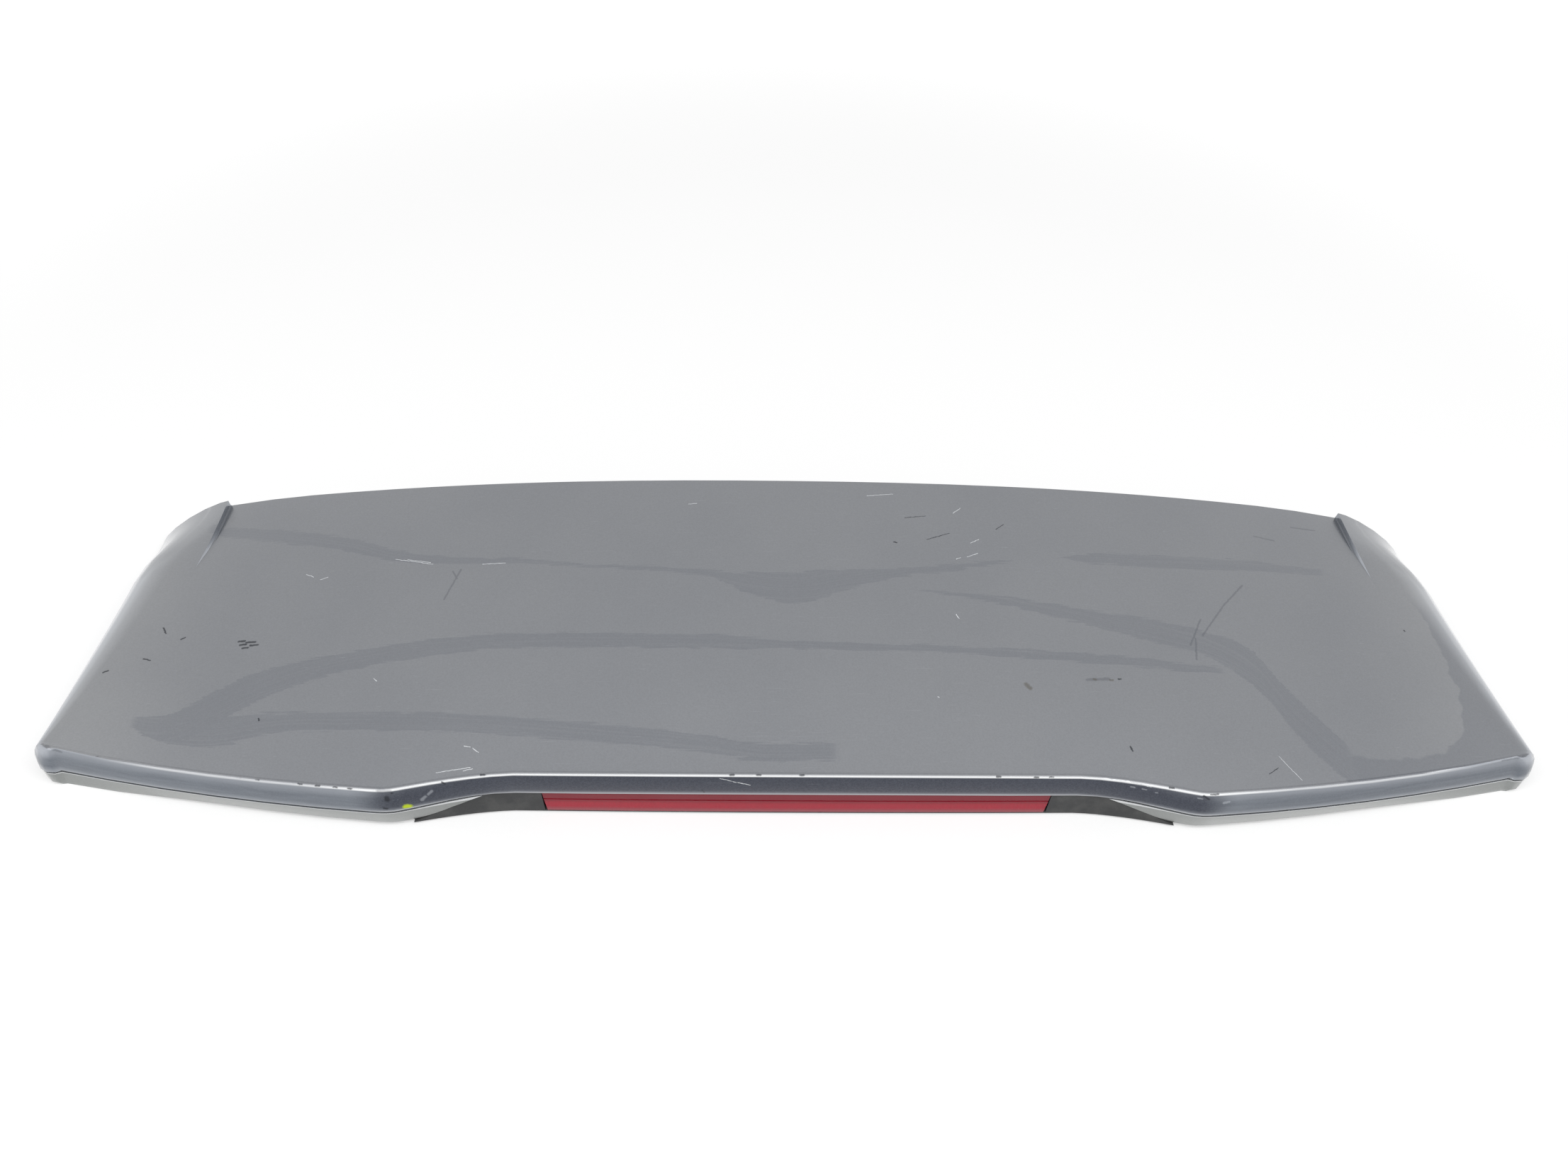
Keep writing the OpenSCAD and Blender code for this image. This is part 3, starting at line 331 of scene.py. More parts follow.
@dataclass(frozen=True)
class Wipe:
    """A stripe wiped through the dust, running across the panel.

    Attributes:
        points: X, Y and half width at each place along it, in millimetres, in the order of X.
        depth: How much of the dust it takes off, from 0 to 1.
    """

    points: tuple[tuple[float, float, float], ...]
    depth: float


WIPES = (
    # Along the front of the panel
    Wipe(((-535, 130, 3), (-521, 129, 6), (-463, 117, 9), (-395, 98, 9), (-348, 80, 7), (-302, 72, 5), (-236, 69, 3),
          (-170, 61, 2), (-82, 54, 4), (-38, 41, 13), (0, 37, 18), (44, 46, 13), (88, 55, 6), (138, 63, 4),
          (188, 73, 2), (222, 79, -1.5), (262, 81, 5), (307, 81, 8), (376, 83, 8), (437, 84, 6), (489, 83, 3)), 0.9),
    # Down to the right
    Wipe(((104, 35, 1), (165, 28, 4), (216, 17, 7), (267, 5, 10), (317, -7, 14), (354, -19, 16), (388, -45, 25),
          (408, -85, 27), (432, -122, 25), (455, -150, 16)), 0.9),
    # Across the middle
    Wipe(((-540, -100, 3), (-503, -107, 14), (-474, -92, 20), (-446, -72, 18), (-409, -55, 13), (-350, -39, 10),
          (-289, -29, 9), (-227, -24, 8), (-164, -24, 8), (-80, -25, 8), (-10, -28, 5), (74, -30, 4), (159, -33, 4),
          (243, -38, 5), (306, -43, 5), (366, -48, 3)), 1.0),
    # Along the rear on the left
    Wipe(((-525, -104, 8), (-469, -114, 15), (-419, -107, 10), (-359, -107, 9), (-299, -108, 9), (-239, -111, 9),
          (-158, -119, 9), (-78, -128, 8), (-31, -136, 8), (-3, -136, 8), (28, -135, 8), (36, -135, 7)), 0.9))
# Ranges in which the curves of a wipe's Y and of its half width are drawn, how ragged its edge is, and its soft ends
WIPE_RANGES, WIPE_RAGGED, WIPE_ENDS = ((-180.0, 180.0), (-10.0, 40.0)), 3.0, 12.0
# Middle and half size along X and Y of the dusty field at the right rear corner
DUSTY_FIELD = ((478.0, 84.0), (-20.0, 112.0))

# The colour of each kind of mark, and how much of it shows
MARK_LOOKS = {
    MarkKind.FAINT: ("#54575E", 0.4), MarkKind.PALE: ("#C9CDD3", 0.3), MarkKind.BROWN: ("#5F5B52", 0.6),
    MarkKind.DARK: ("#2E3035", 0.8), MarkKind.LIGHT: ("#D4D7DA", 0.9), MarkKind.GREEN: ("#B9CC28", 1.0)}


def mark_group() -> bpy.types.NodeTree:
    """Makes the node group that adds one straight mark to those before it.

    Its Place output hangs on its mask by a share too small to see, so that the marks are worked out one after
    another and few values are held at once.

    Returns:
        The group, with the inputs Place, Before, Start, Along, Share and Half, and the outputs Mask and Place.
    """
    tree = bpy.data.node_groups.new("straight_mark", "ShaderNodeTree")
    for way, names in (("INPUT", "Place Before Start Along Share Half"), ("OUTPUT", "Mask Place")):
        for name in names.split():
            kind = "Vector" if name in ("Place", "Start", "Along") else "Float"
            tree.interface.new_socket(name, in_out=way, socket_type="NodeSocket" + kind)
    given = add(tree, "NodeGroupInput").outputs
    offset = add(tree, "VectorMath", {0: given["Place"], 1: given["Start"]}, operation="SUBTRACT")
    along = add(tree, "VectorMath", {0: offset, 1: given["Along"]}, operation="DOT_PRODUCT").outputs["Value"]
    share = add(tree, "Math", {0: along, 1: given["Share"]}, operation="MULTIPLY", use_clamp=True)
    reach = add(tree, "VectorMath", {0: given["Along"], "Scale": share.outputs[0]}, operation="SCALE")
    gap = add(tree, "VectorMath", {0: offset, 1: reach}, operation="DISTANCE").outputs["Value"]
    inner = add(tree, "Math", {0: given["Half"], 1: 0.5}, operation="MULTIPLY")
    outer = add(tree, "Math", {0: given["Half"], 1: 1.25}, operation="MULTIPLY")
    mask = add(tree, "MapRange", {0: gap, 1: inner, 2: outer, 3: 1.0, 4: 0.0})
    total = add(tree, "Math", {0: mask, 1: given["Before"]}, operation="MAXIMUM")
    step = add(tree, "CombineXYZ", {0: add(tree, "Math", {0: total, 1: 1e-6}, operation="MULTIPLY")})
    place = add(tree, "VectorMath", {0: given["Place"], 1: step}, operation="ADD")
    add(tree, "NodeGroupOutput", {"Mask": total, "Place": place})
    return tree


# Finishes of the painted shells


@dataclass(frozen=True)
class MetallicPaint:
    """Dark blue metallic car paint under clear coat on ABS, with road dust on its upward faces.

    Attributes:
        base: Colour of the metallic coat on upright faces, darkened there as painted shade.
        painted_gleam: Its colour on tilted faces, a painted gleam where the flakes would catch the light.
        flake: Colour of a flake that catches the light.
        level: Its colour on the level panel, lighter than on upright faces as painted light.
        polish_and_reflection: Colour of the dried polish left on the wings' band, made lighter still as a painted
            reflection.
        sill_reflection: Painted reflection of the white floor on the lower edge of the middle band.
        crest: Painted highlight along the crest, standing in for the mirrored light.
        dust: Colour of the dust film.
        cover: How much of the upward faces the dust hides.
        wiped: Share of the dust left where it was wiped.
        thick: Share of the dust from which the finish is as dull as it gets.
    """

    base: str = "#282E3D"
    painted_gleam: str = "#A9ADB4"
    flake: str = "#A9B0BE"
    level: str = "#62666E"
    polish_and_reflection: str = "#828991"
    sill_reflection: str = "#D5D7DA"
    crest: str = "#FAFBFC"
    dust: str = "#BDBDBB"
    cover: float = 0.24
    wiped: float = 0.6
    thick: float = 0.25

    def wipe_mask(self, surface: Surface, wipe: Wipe) -> Socket:
        """Gives how far a wiped stripe takes the dust off at each place.

        Args:
            surface: The material that takes the nodes.
            wipe: The stripe.

        Returns:
            A value from 0 to the stripe's depth.
        """
        first, last = wipe.points[0][0], wipe.points[-1][0]
        along = surface.add("MapRange", {0: surface.x, 1: first, 2: last})
        curves = []
        for column, (low, high) in enumerate(WIPE_RANGES, start=1):
            curve = surface.add("FloatCurve", {"Value": along})
            line = curve.mapping.curves[0]
            while len(line.points) < len(wipe.points):
                line.points.new(0.5, 0.5)
            for point, place in zip(line.points, wipe.points):
                point.location = ((place[0] - first) / (last - first), (place[column] - low) / (high - low))
            curve.mapping.update()
            curves.append(surface.add("MapRange", {0: curve, 3: low, 4: high}))
        centre, half = curves
        ragged = surface.add("MapRange", {0: surface.grain(2.2, 4.0, ACROSS), 1: 0.25, 2: 0.75, 3: -WIPE_RAGGED,
                                          4: WIPE_RAGGED})
        side = surface.math("SUBTRACT", surface.y, centre)
        gap = surface.math("ADD", surface.math("ABSOLUTE", side), ragged)
        inside = surface.ramp(surface.math("SUBTRACT", half, gap), -0.6, 0.8)
        ends = surface.times(surface.ramp(surface.x, first, first + WIPE_ENDS),
                             surface.ramp(surface.x, last, last - WIPE_ENDS))
        # The threads that the cloth left run along the stripe
        drawn = surface.add("CombineXYZ", {0: surface.times(surface.x, 0.012), 1: side})
        threads = surface.add("TexNoise", {"Vector": drawn, "Scale": 0.55, "Detail": 3.0})
        depth = surface.ramp(threads, 0.3, 0.62, 0.55 * wipe.depth, wipe.depth)
        return surface.times(surface.times(inside, ends), depth)

    def corner_mask(self, surface: Surface) -> Socket:
        """Gives the wiped sweep round the right rear corner, which leaves a rounded dusty field inside it."""
        ragged = surface.add("MapRange", {0: surface.grain(16.0, 4.0), 1: 0.25, 2: 0.75, 3: -0.1, 4: 0.1})
        terms = []
        for axis, (centre, half) in zip((surface.x, surface.y), DUSTY_FIELD):
            ratio = surface.math("ABSOLUTE", surface.math("SUBTRACT", axis, centre))
            terms.append(surface.math("POWER", surface.math("DIVIDE", ratio, half), 3.0))
        outside = surface.ramp(surface.math("ADD", surface.math("ADD", *terms), ragged), 0.97, 1.08)
        limits = surface.times(surface.ramp(surface.x, 432.0, 455.0), surface.ramp(surface.y, 70.0, 20.0))
        return surface.times(outside, limits)

    def mark_masks(self, surface: Surface) -> dict[MarkKind, Socket]:
        """Joins the marks of each kind into one mask.

        Args:
            surface: The material that takes the nodes.

        Returns:
            A mask from 0 to 1 for each kind.
        """
        group = mark_group()
        wobble = surface.add("TexNoise", {"Vector": surface.place, "Scale": 0.35, "Detail": 2.0})
        shift = surface.add("VectorMath", {0: wobble.outputs["Color"], 1: (0.5, 0.5, 0.5)}, operation="SUBTRACT")
        shift = surface.add("VectorMath", {0: shift, "Scale": 1.6}, operation="SCALE")
        place = surface.add("VectorMath", {0: surface.place, 1: shift}, operation="ADD")
        flat_place = surface.add("VectorMath", {0: place, 1: (1, 1, 0)}, operation="MULTIPLY")
        layers = [[PANEL_MARKS, flat_place.outputs[0]], [EDGE_MARKS, place.outputs[0]]]
        masks = {}
        for kind in MarkKind:
            for layer in layers:
                for mark in (m for m in layer[0] if m.kind is kind):
                    along = Vector(mark.end) - Vector(mark.start)
                    feeds = {"Place": layer[1], "Start": mark.start, "Along": along, "Half": mark.half,
                             "Share": 1.0 / max(along.length_squared, 1e-6)}
                    if kind in masks:
                        feeds["Before"] = masks[kind]
                    masks[kind], layer[1] = surface.add("Group", feeds, node_tree=group).outputs
        return masks

    def level_mask(self, surface: Surface) -> Socket:
        """Gives where the panel is level, and the front corners, which tilt but take no painted gleam."""
        turned = surface.math("ABSOLUTE", surface.right)
        panel = surface.times(surface.ramp(surface.up, 0.7, 0.84), surface.ramp(turned, 0.62, 0.1))
        front = surface.times(surface.ramp(surface.y, 60.0, 105.0, 0.0, 0.8), surface.ramp(surface.up, 0.55, 0.8))
        return surface.math("MAXIMUM", panel, front)

    def crest_highlight_mask(self, surface: Surface) -> Socket:
        """Gives the painted highlight along the crest: weaker on the wings, gone before the rear corners."""
        nose = surface.times(surface.ramp(surface.ahead, -0.24, -0.42), surface.ramp(surface.up, 0.12, 0.32))
        sunk = surface.math("SUBTRACT", surface.below_crest, surface.ramp(surface.aside, 340.0, 490.0, 0.0, 1.6))
        line = surface.times(nose, surface.ramp(sunk, 3.3, 2.1))
        fading = surface.times(surface.ramp(surface.aside, 330.0, 400.0, 1.0, 0.5),
                               surface.ramp(surface.aside, 560.0, 500.0))
        return surface.times(line, fading)

    def body(self, surface: Surface) -> Socket:
        """Gives the colour of the metallic coat with its painted shade, gleam, highlights and reflections, without
        dust or marks.

        Args:
            surface: The material that takes the nodes.

        Returns:
            The colour: dark on upright faces as painted shade, dried polish and painted reflection on the wings'
                band, painted gleam and highlights where the coat tilts, painted reflection of the floor on the band's
                lower edge.
        """
        ramp, times, tint = surface.ramp, surface.times, surface.tint
        low = surface.below_crest
        wing = ramp(surface.aside, WING_START, WING_FULL)
        streaks = ramp(surface.grain(2.2, 3.0, LEVEL), 0.3, 0.7, 0.54, 0.68)
        # The wings' band is lighter: streaks of dried polish, and a painted reflection.
        wing_polish_and_reflection = times(times(wing, streaks), ramp(surface.x, 330.0, 380.0, 1.0, 0.82))
        paint = tint(wing_polish_and_reflection, self.base, self.polish_and_reflection)
        # Painted highlight: the wings' band is lighter just below the crest.
        wing_top_highlight = times(wing, ramp(low, 12.0, 3.0, 0.0, 0.38))
        paint = tint(wing_top_highlight, paint, self.painted_gleam)
        # Painted reflection of the floor: the band is lighter towards its lower edge.
        paint = tint(ramp(low, 18.0, 23.0, 0.0, 0.4), paint, self.painted_gleam)
        # Painted reflection of the white floor along the lower edge of the middle band.
        floor_reflection = times(ramp(surface.aside, WING_FULL, WING_START), ramp(low, 20.5, 24.0, 0.0, 0.55))
        paint = tint(floor_reflection, paint, self.sill_reflection)
        # Painted gleam: tilted faces take a lighter colour.
        paint = tint(ramp(surface.up, 0.15, 0.5), paint, self.painted_gleam)
        # The level panel takes a colour between the painted shade of upright faces and the painted gleam of tilted
        # ones.
        paint = tint(self.level_mask(surface), paint, self.level)
        # Painted highlight along the crest.
        paint = tint(self.crest_highlight_mask(surface), paint, self.crest)
        # A thin painted shade line where the panel turns over into the crest
        brink_shade = times(ramp(surface.ahead, -0.14, -0.24), ramp(surface.up, 0.8, 0.88))
        paint = tint(times(brink_shade, 0.75), paint, self.base)
        return tint(surface.flakes(), paint, self.flake)

    def film(self, surface: Surface) -> Socket:
        """Gives the share of the dust film: cloudy, thin where it was wiped, and thicker towards the sides, which is
        partly dust and partly a painted sheen of the rolled-down sides.
        """
        # Towards the sides the lighter film is partly dust and partly a painted sheen of the roll-down.
        clouds = surface.times(surface.ramp(surface.grain(120.0, 3.0), 0.3, 0.7, 0.93, 1.05),
                               surface.ramp(surface.aside, 470.0, 590.0, 1.0, 1.45))
        specks = surface.ramp(surface.grain(1.6, 2.0), 0.25, 0.75, 0.94, 1.06)
        share = surface.times(surface.ramp(surface.up, 0.7, 0.98, 0.0, self.cover), clouds)
        share = surface.times(share, specks)
        wiped = self.corner_mask(surface)
        for wipe in WIPES:
            wiped = surface.math("MAXIMUM", wiped, self.wipe_mask(surface, wipe))
        return surface.times(share, surface.ramp(wiped, 0.0, 1.0, 1.0, self.wiped))

    def make(self) -> bpy.types.Material:
        """Builds the paint.

        The metallic coat gives a dark blue body with a soft broad gleam, with painted gleam on tilted faces and
        painted highlights and reflections on the edges, the clear coat a thin sharp reflection that whitens at
        grazing angles, and the dust a flat grey veil with darker wiped stripes.

        Returns:
            The material.
        """
        surface = Surface("metallic_paint", Metallic=0.9, Coat_Roughness=0.05, Coat_IOR=1.5, Specular_IOR_Level=0.0)
        paint, film = self.body(surface), self.film(surface)
        colour = surface.tint(film, paint, self.dust)
        rough = surface.ramp(film, 0.0, self.thick, 0.34, 0.5)
        clear = surface.ramp(film, 0.0, self.thick, 1.0, 0.75)
        masks = self.mark_masks(surface)
        hairlines = surface.ramp(surface.grain(0.5, 1.0, (60.0, 1.0, 1.0)), 0.72, 0.8, 0.0, 0.12)
        for kind, (shade, share) in MARK_LOOKS.items():
            mask = surface.times(masks[kind], share)
            if kind is MarkKind.LIGHT:
                mask = surface.math("MAXIMUM", mask, hairlines)
            colour = surface.tint(mask, colour, shade)
            clear = surface.times(clear, surface.ramp(mask, 0.0, 1.0, 1.0, 0.25))
        surface.feed("Base Color", colour)
        surface.feed("Roughness", rough)
        surface.feed("Coat Weight", clear)
        surface.relief(surface.grain(PEEL_MM, 1.0), 0.012)
        return surface.material


@dataclass(frozen=True)
class UnderPaint:
    """The same paint where it was sprayed thin, on faces that look down, over black moulded ABS.

    Attributes:
        lip: Colour of the lip below the groove: the paint, made lighter as a painted reflection of the white floor.
        flake: Colour of a flake that catches the light.
        ledge_light: Painted light in the groove, lifting the shade there.
        bare: Colour of the plastic and the thin dry spray on it.
    """

    lip: str = "#828583"
    flake: str = "#B9C0CC"
    ledge_light: str = "#E2E4E6"
    bare: str = "#2C2E33"

    def make(self) -> bpy.types.Material:
        """Builds the finish: glossy where it shows at the lip, dull and cloudy with dry spray below."""
        surface = Surface("thin_underside_paint", Metallic=0.9, Coat_Roughness=0.06, Coat_IOR=1.5,
                          Specular_IOR_Level=0.0)
        spray = surface.ramp(surface.grain(45.0, 4.0), 0.35, 0.65, 0.45, 1.0)
        thin = surface.times(surface.ramp(surface.up, -0.75, -0.93), spray)
        # The lip's light colour is partly the paint and partly a painted reflection of the white floor.
        body = surface.tint(surface.flakes(), self.lip, self.flake)
        # Painted light: the step in the groove is made lighter against its shade.
        body = surface.tint(surface.ramp(surface.below_crest, 27.2, 26.2, 0.0, 0.8), body, self.ledge_light)
        surface.feed("Base Color", surface.tint(thin, body, self.bare))
        surface.feed("Roughness", surface.ramp(thin, 0.0, 1.0, 0.34, 0.62))
        surface.feed("Coat Weight", surface.ramp(thin, 0.0, 1.0, 1.0, 0.1))
        surface.relief(surface.grain(1.2, 3.0), 0.03, 0.4)
        surface.relief(surface.grain(PEEL_MM, 1.0), 0.012)
        return surface.material


# Finishes of the lamp, the trim and the fixings

# Scale of a wave texture that has one band in each millimetre
WAVE = 0.314159


@dataclass(frozen=True)
class RedLens:
    """Red acrylic, injection moulded: a glossy skin, a deep red body and upright ribs on its inner face.

    Attributes:
        red: Colour of the acrylic.
        deep: Its colour above the crease, darker as painted shade because it faces up less.
        crease: Colour of a painted shade line along the crease.
        worn: Its colour where it is rubbed dull.
        floor_show_through: Its colour at the bottom, a painted glow of the white floor showing through.
        rim_glare: Colour of a painted glare along the top edge.
        crease_mm: Height of the crease.
        rib_mm: Distance from one inner rib to the next.
    """

    red: str = "#DC1A40"
    deep: str = "#AC1532"
    crease: str = "#3A0A12"
    worn: str = "#C4606A"
    floor_show_through: str = "#CC7680"
    rim_glare: str = "#D8C4C8"
    crease_mm: float = 16.5
    rib_mm: float = 3.0

    def make(self) -> bpy.types.Material:
        """Builds the acrylic: the body glows red, its ribs show faintly, the crease has a painted shade line, and
        painted light shows at the bottom and along the top edge.
        """
        surface = Surface("red_acrylic", Roughness=0.08, IOR=1.49, Transmission_Weight=0.4)
        # Painted shade: the lens is darker above the crease, where it faces up less.
        body = surface.tint(surface.ramp(surface.z, self.crease_mm - 5.0, self.crease_mm + 0.4), self.red, self.deep)
        body = surface.tint(surface.ramp(surface.grain(30.0, 4.0), 0.35, 0.7, 0.0, 0.08), body, self.worn)
        # Painted light: the white floor showing through at the bottom.
        body = surface.tint(surface.ramp(surface.z, 9.0, 3.8, 0.0, 0.8), body, self.floor_show_through)
        # Painted highlight: a pale glare along the top edge.
        body = surface.tint(surface.ramp(surface.z, 24.6, 25.5, 0.0, 0.6), body, self.rim_glare)
        # Painted shade: a dark line along the crease.
        gap = surface.math("ABSOLUTE", surface.math("SUBTRACT", surface.z, self.crease_mm))
        surface.feed("Base Color", surface.tint(surface.ramp(gap, 0.7, 0.2, 0.0, 0.15), body, self.crease))
        ribs = surface.add("TexWave", {"Vector": surface.place, "Scale": WAVE / self.rib_mm},
                           bands_direction="X")
        surface.relief(ribs, 0.12, 0.5)
        surface.relief(surface.grain(0.8, 2.0), 0.01, 0.4)
        return surface.material


@dataclass(frozen=True)
class Moulded:
    """A moulded plastic or rubber with a fine grained skin.

    Attributes:
        name: The material's name.
        colour: Its colour.
        worn: Its colour where it is dusty or rubbed.
        rough: Its roughness.
        grain_mm: Size of the grain of its skin, drawn a little coarser than the real 0.2 mm so that it shows.
        depth_mm: Depth of the grain.
        wear: How much of the worn colour it takes at most.
    """

    name: str
    colour: str
    worn: str
    rough: float
    grain_mm: float = 0.6
    depth_mm: float = 0.05
    wear: float = 0.4

    def make(self) -> bpy.types.Material:
        """Builds the plastic: an even body with cloudy dust, duller where the dust lies."""
        surface = Surface(self.name, IOR=1.5)
        grain = surface.grain(self.grain_mm, 3.0)
        cloud = surface.ramp(surface.grain(14.0, 5.0), 0.38, 0.72, 0.0, self.wear)
        top = surface.ramp(surface.up, 0.3, 1.0, 0.0, self.wear * 0.6)
        speck = surface.ramp(grain, 0.6, 0.75, 0.0, 0.12)
        share = surface.math("ADD", surface.math("MAXIMUM", cloud, top), speck, clamp=True)
        surface.feed("Base Color", surface.tint(share, self.colour, self.worn))
        surface.feed("Roughness", surface.ramp(grain, 0.3, 0.7, self.rough - 0.06, self.rough + 0.08))
        surface.relief(grain, self.depth_mm)
        return surface.material


@dataclass(frozen=True)
class Plated:
    """A metal part: zinc-plated or tinned, with fine drawn lines and cloudy passivation.

    Attributes:
        name: The material's name.
        colour: Colour of the clean plating.
        dull: Colour where it has gone cloudy.
        rough: Its roughness.
        line_mm: Distance between the fine lines left by drawing or turning, coarser than real so that they show.
    """

    name: str
    colour: str
    dull: str
    rough: float = 0.3
    line_mm: float = 0.4

    def make(self) -> bpy.types.Material:
        """Builds the plating: bright metal with soft clouds and fine level lines."""
        surface = Surface(self.name, Metallic=1.0)
        cloud = surface.ramp(surface.grain(3.0, 4.0), 0.35, 0.7)
        surface.feed("Base Color", surface.tint(cloud, self.colour, self.dull))
        surface.feed("Roughness", surface.ramp(cloud, 0.0, 1.0, self.rough, self.rough + 0.2))
        surface.relief(surface.grain(self.line_mm, 1.0, (8.0, 8.0, 1.0)), 0.02, 0.5)
        return surface.material


@dataclass(frozen=True)
class CellFoam:
    """Closed-cell polyethylene foam: matte black with small open pores where it was cut.

    Attributes:
        name: The material's name.
        cell_mm: Size of a cell.
    """

    name: str = "closed_cell_foam"
    cell_mm: float = 0.9

    def make(self) -> bpy.types.Material:
        """Builds the foam: dark pores in a soft grey-black skin."""
        surface = Surface(self.name, Roughness=0.9, IOR=1.45)
        cells = surface.add("TexVoronoi", {"Vector": surface.place, "Scale": 1.0 / self.cell_mm})
        pore = surface.ramp(cells.outputs["Distance"], 0.15, 0.55)
        surface.feed("Base Color", surface.tint(pore, "#3C3D3F", "#232426"))
        surface.relief(cells.outputs["Distance"], 0.25, 0.8)
        return surface.material


@dataclass(frozen=True)
class CircuitBoard:
    """Glass-fibre board under green solder mask, with copper tracks that show as lighter lines.

    Attributes:
        track_mm: Distance from one track to the next.
    """

    track_mm: float = 4.0

    def make(self) -> bpy.types.Material:
        """Builds the board: a satin green mask, paler over its long tracks."""
        surface = Surface("solder_mask_board", Roughness=0.35, IOR=1.5)
        tracks = surface.add("TexWave", {"Vector": surface.place, "Scale": WAVE / self.track_mm},
                             bands_direction="Z")
        line = surface.ramp(tracks, 0.75, 0.85, 0.0, 0.7)
        weave = surface.ramp(surface.grain(1.2, 1.0), 0.3, 0.7, 0.0, 0.15)
        surface.feed("Base Color", surface.tint(weave, surface.tint(line, "#0E4A26", "#2C7A48"), "#5C8A6A"))
        surface.relief(line, 0.04)
        return surface.material


class Diode:
    """The diodes: glossy epoxy, clear red over a paler die."""


    def make(self) -> bpy.types.Material:
        """Builds the diode: glossy, deep red, with a paler speckle."""
        surface = Surface("diode_package", Roughness=0.2, IOR=1.5, Coat_Weight=0.5)
        spot = surface.ramp(surface.grain(0.8, 2.0), 0.4, 0.6)
        surface.feed("Base Color", surface.tint(spot, "#9E1B22", "#D8564F"))
        surface.relief(spot, 0.05)
        return surface.material


# Pieces


class Finish(Protocol):
    """What makes a material."""

    def make(self) -> bpy.types.Material:
        """Builds the material."""


def show(piece: bpy.types.Object, finish: bpy.types.Material) -> None:
    """Gives every face of a piece one material."""
    piece.data.materials.clear()
    piece.data.materials.append(finish)
    for face in piece.data.polygons:
        face.material_index = 0
    LOG.info("piece %s: %d faces, %s", piece.name, len(piece.data.polygons), finish.name)


@dataclass(frozen=True)
class SmoothCopy:
    """A piece made from a node's mesh, with its loose triangles joined and its curved faces shaded smooth.

    Attributes:
        node: The node that it stands for.
        name: The piece's name.
        slot: Name of the record's slot for its finish; not used.
        sharp: The angle in degrees from which an edge stays sharp.
        change: What reshapes the copy before its edges are sorted into sharp and smooth ones.
        near: The distance in metres within which loose corners are joined.
        weight: How much more the large faces count in the shading.
    """

    node: str
    name: str
    slot: str
    sharp: float = 38.0
    change: Callable[[bmesh.types.BMesh], None] | None = None
    near: float = 2e-6
    weight: int = 60

    def make(self) -> bpy.types.Object:
        """Makes the piece, in metres, in the model's own frame."""
        shape = bmesh.new()
        shape.from_mesh(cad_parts[self.node].data)
        bmesh.ops.remove_doubles(shape, verts=shape.verts[:], dist=self.near)
        if self.change is not None:
            self.change(shape)
            shape.normal_update()
        for face in shape.faces:
            face.smooth = True
        limit = math.radians(self.sharp)
        for edge in shape.edges:
            edge.smooth = len(edge.link_faces) == 2 and edge.calc_face_angle(0.0) < limit
        mesh = bpy.data.meshes.new(self.name)
        shape.to_mesh(mesh)
        shape.free()
        piece = stand(self.name, mesh)
        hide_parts(self.node)
        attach(piece, "root")
        weighted = piece.modifiers.new("even_shading", "WEIGHTED_NORMAL")
        weighted.keep_sharp = True
        weighted.weight = self.weight
        return piece


@dataclass(frozen=True)
class TrailingEdge:
    """How the copy of the top skin is laid on the photo's edges, all in millimetres.

    Attributes:
        radius: Radius of the crest.
        rings: Depth of each ring of the crest, and its distance out from the edge of the panel.
        ring_near: How far a ring may lie from its depth.
        crest_depths: Depths between which the rings of the crest lie.
        sink: How much lower the crest is in the middle, and how much lower still on the wings.
        wing: Where along X the crest starts to sink more, and where it is lowest.
        fade: Length before the rear corners over which the change of the crest fades out.
        end: Half of the length that changes.
        rear: Y behind which the crest and the band lie.
        band: How much lower the upper and the lower rings at the lower edge of the middle band are.
        band_depths: Depths at which the upper rings start, the lower rings start and the lower rings end.
        band_half: Half of the length of the middle band that is lower.
        band_fade: Length at each of its ends over which that fades out.
    """

    radius: float = 2.2
    rings: tuple[tuple[float, float], ...] = ((0.0, 0.0), (0.34, 1.054), (1.7, 1.7))
    ring_near: float = 0.07
    crest_depths: tuple[float, float] = (-1.0, 1.8)
    sink: tuple[float, float] = (0.4, 1.6)
    wing: tuple[float, float] = (340.0, 490.0)
    fade: float = 45.0
    end: float = CORNER_X - 3.0
    rear: float = -110.0
    band: tuple[float, float] = (1.0, 2.6)
    band_depths: tuple[float, float, float] = (18.0, 20.0, 22.5)
    band_half: float = 265.0
    band_fade: float = 50.0

    def rounding(self, depth: float) -> float:
        """Gives how much lower the wider round puts a ring of the crest that lies at a depth."""
        for ring_depth, out in self.rings:
            if abs(depth - ring_depth) < self.ring_near:
                across = out + self.radius - self.rings[-1][1]
                return self.radius - math.sqrt(max(self.radius ** 2 - across ** 2, 0.0)) - ring_depth
        return 0.0

    def settle(self, shape: bmesh.types.BMesh) -> None:
        """Rounds and sinks the crest and deepens the middle band of the top skin, given in metres."""
        upper, lower, last = self.band_depths
        for vert in shape.verts:
            x, y, z = (c / MM for c in vert.co)
            x = abs(x)
            depth = CREST_Z - CREST_CROWN * (x / CORNER_X) ** 2 - z
            if y > self.rear or x > self.end:
                continue
            if self.crest_depths[0] < depth < self.crest_depths[1]:
                on_wing = max(0.0, min(1.0, (x - self.wing[0]) / (self.wing[1] - self.wing[0])))
                drop = self.sink[0] + self.sink[1] * on_wing + self.rounding(depth)
                vert.co.z -= drop * min(1.0, (self.end - x) / self.fade) * MM
            elif upper < depth < last and x < self.band_half:
                vert.co.z -= self.band[depth > lower] * min(1.0, (self.band_half - x) / self.band_fade) * MM


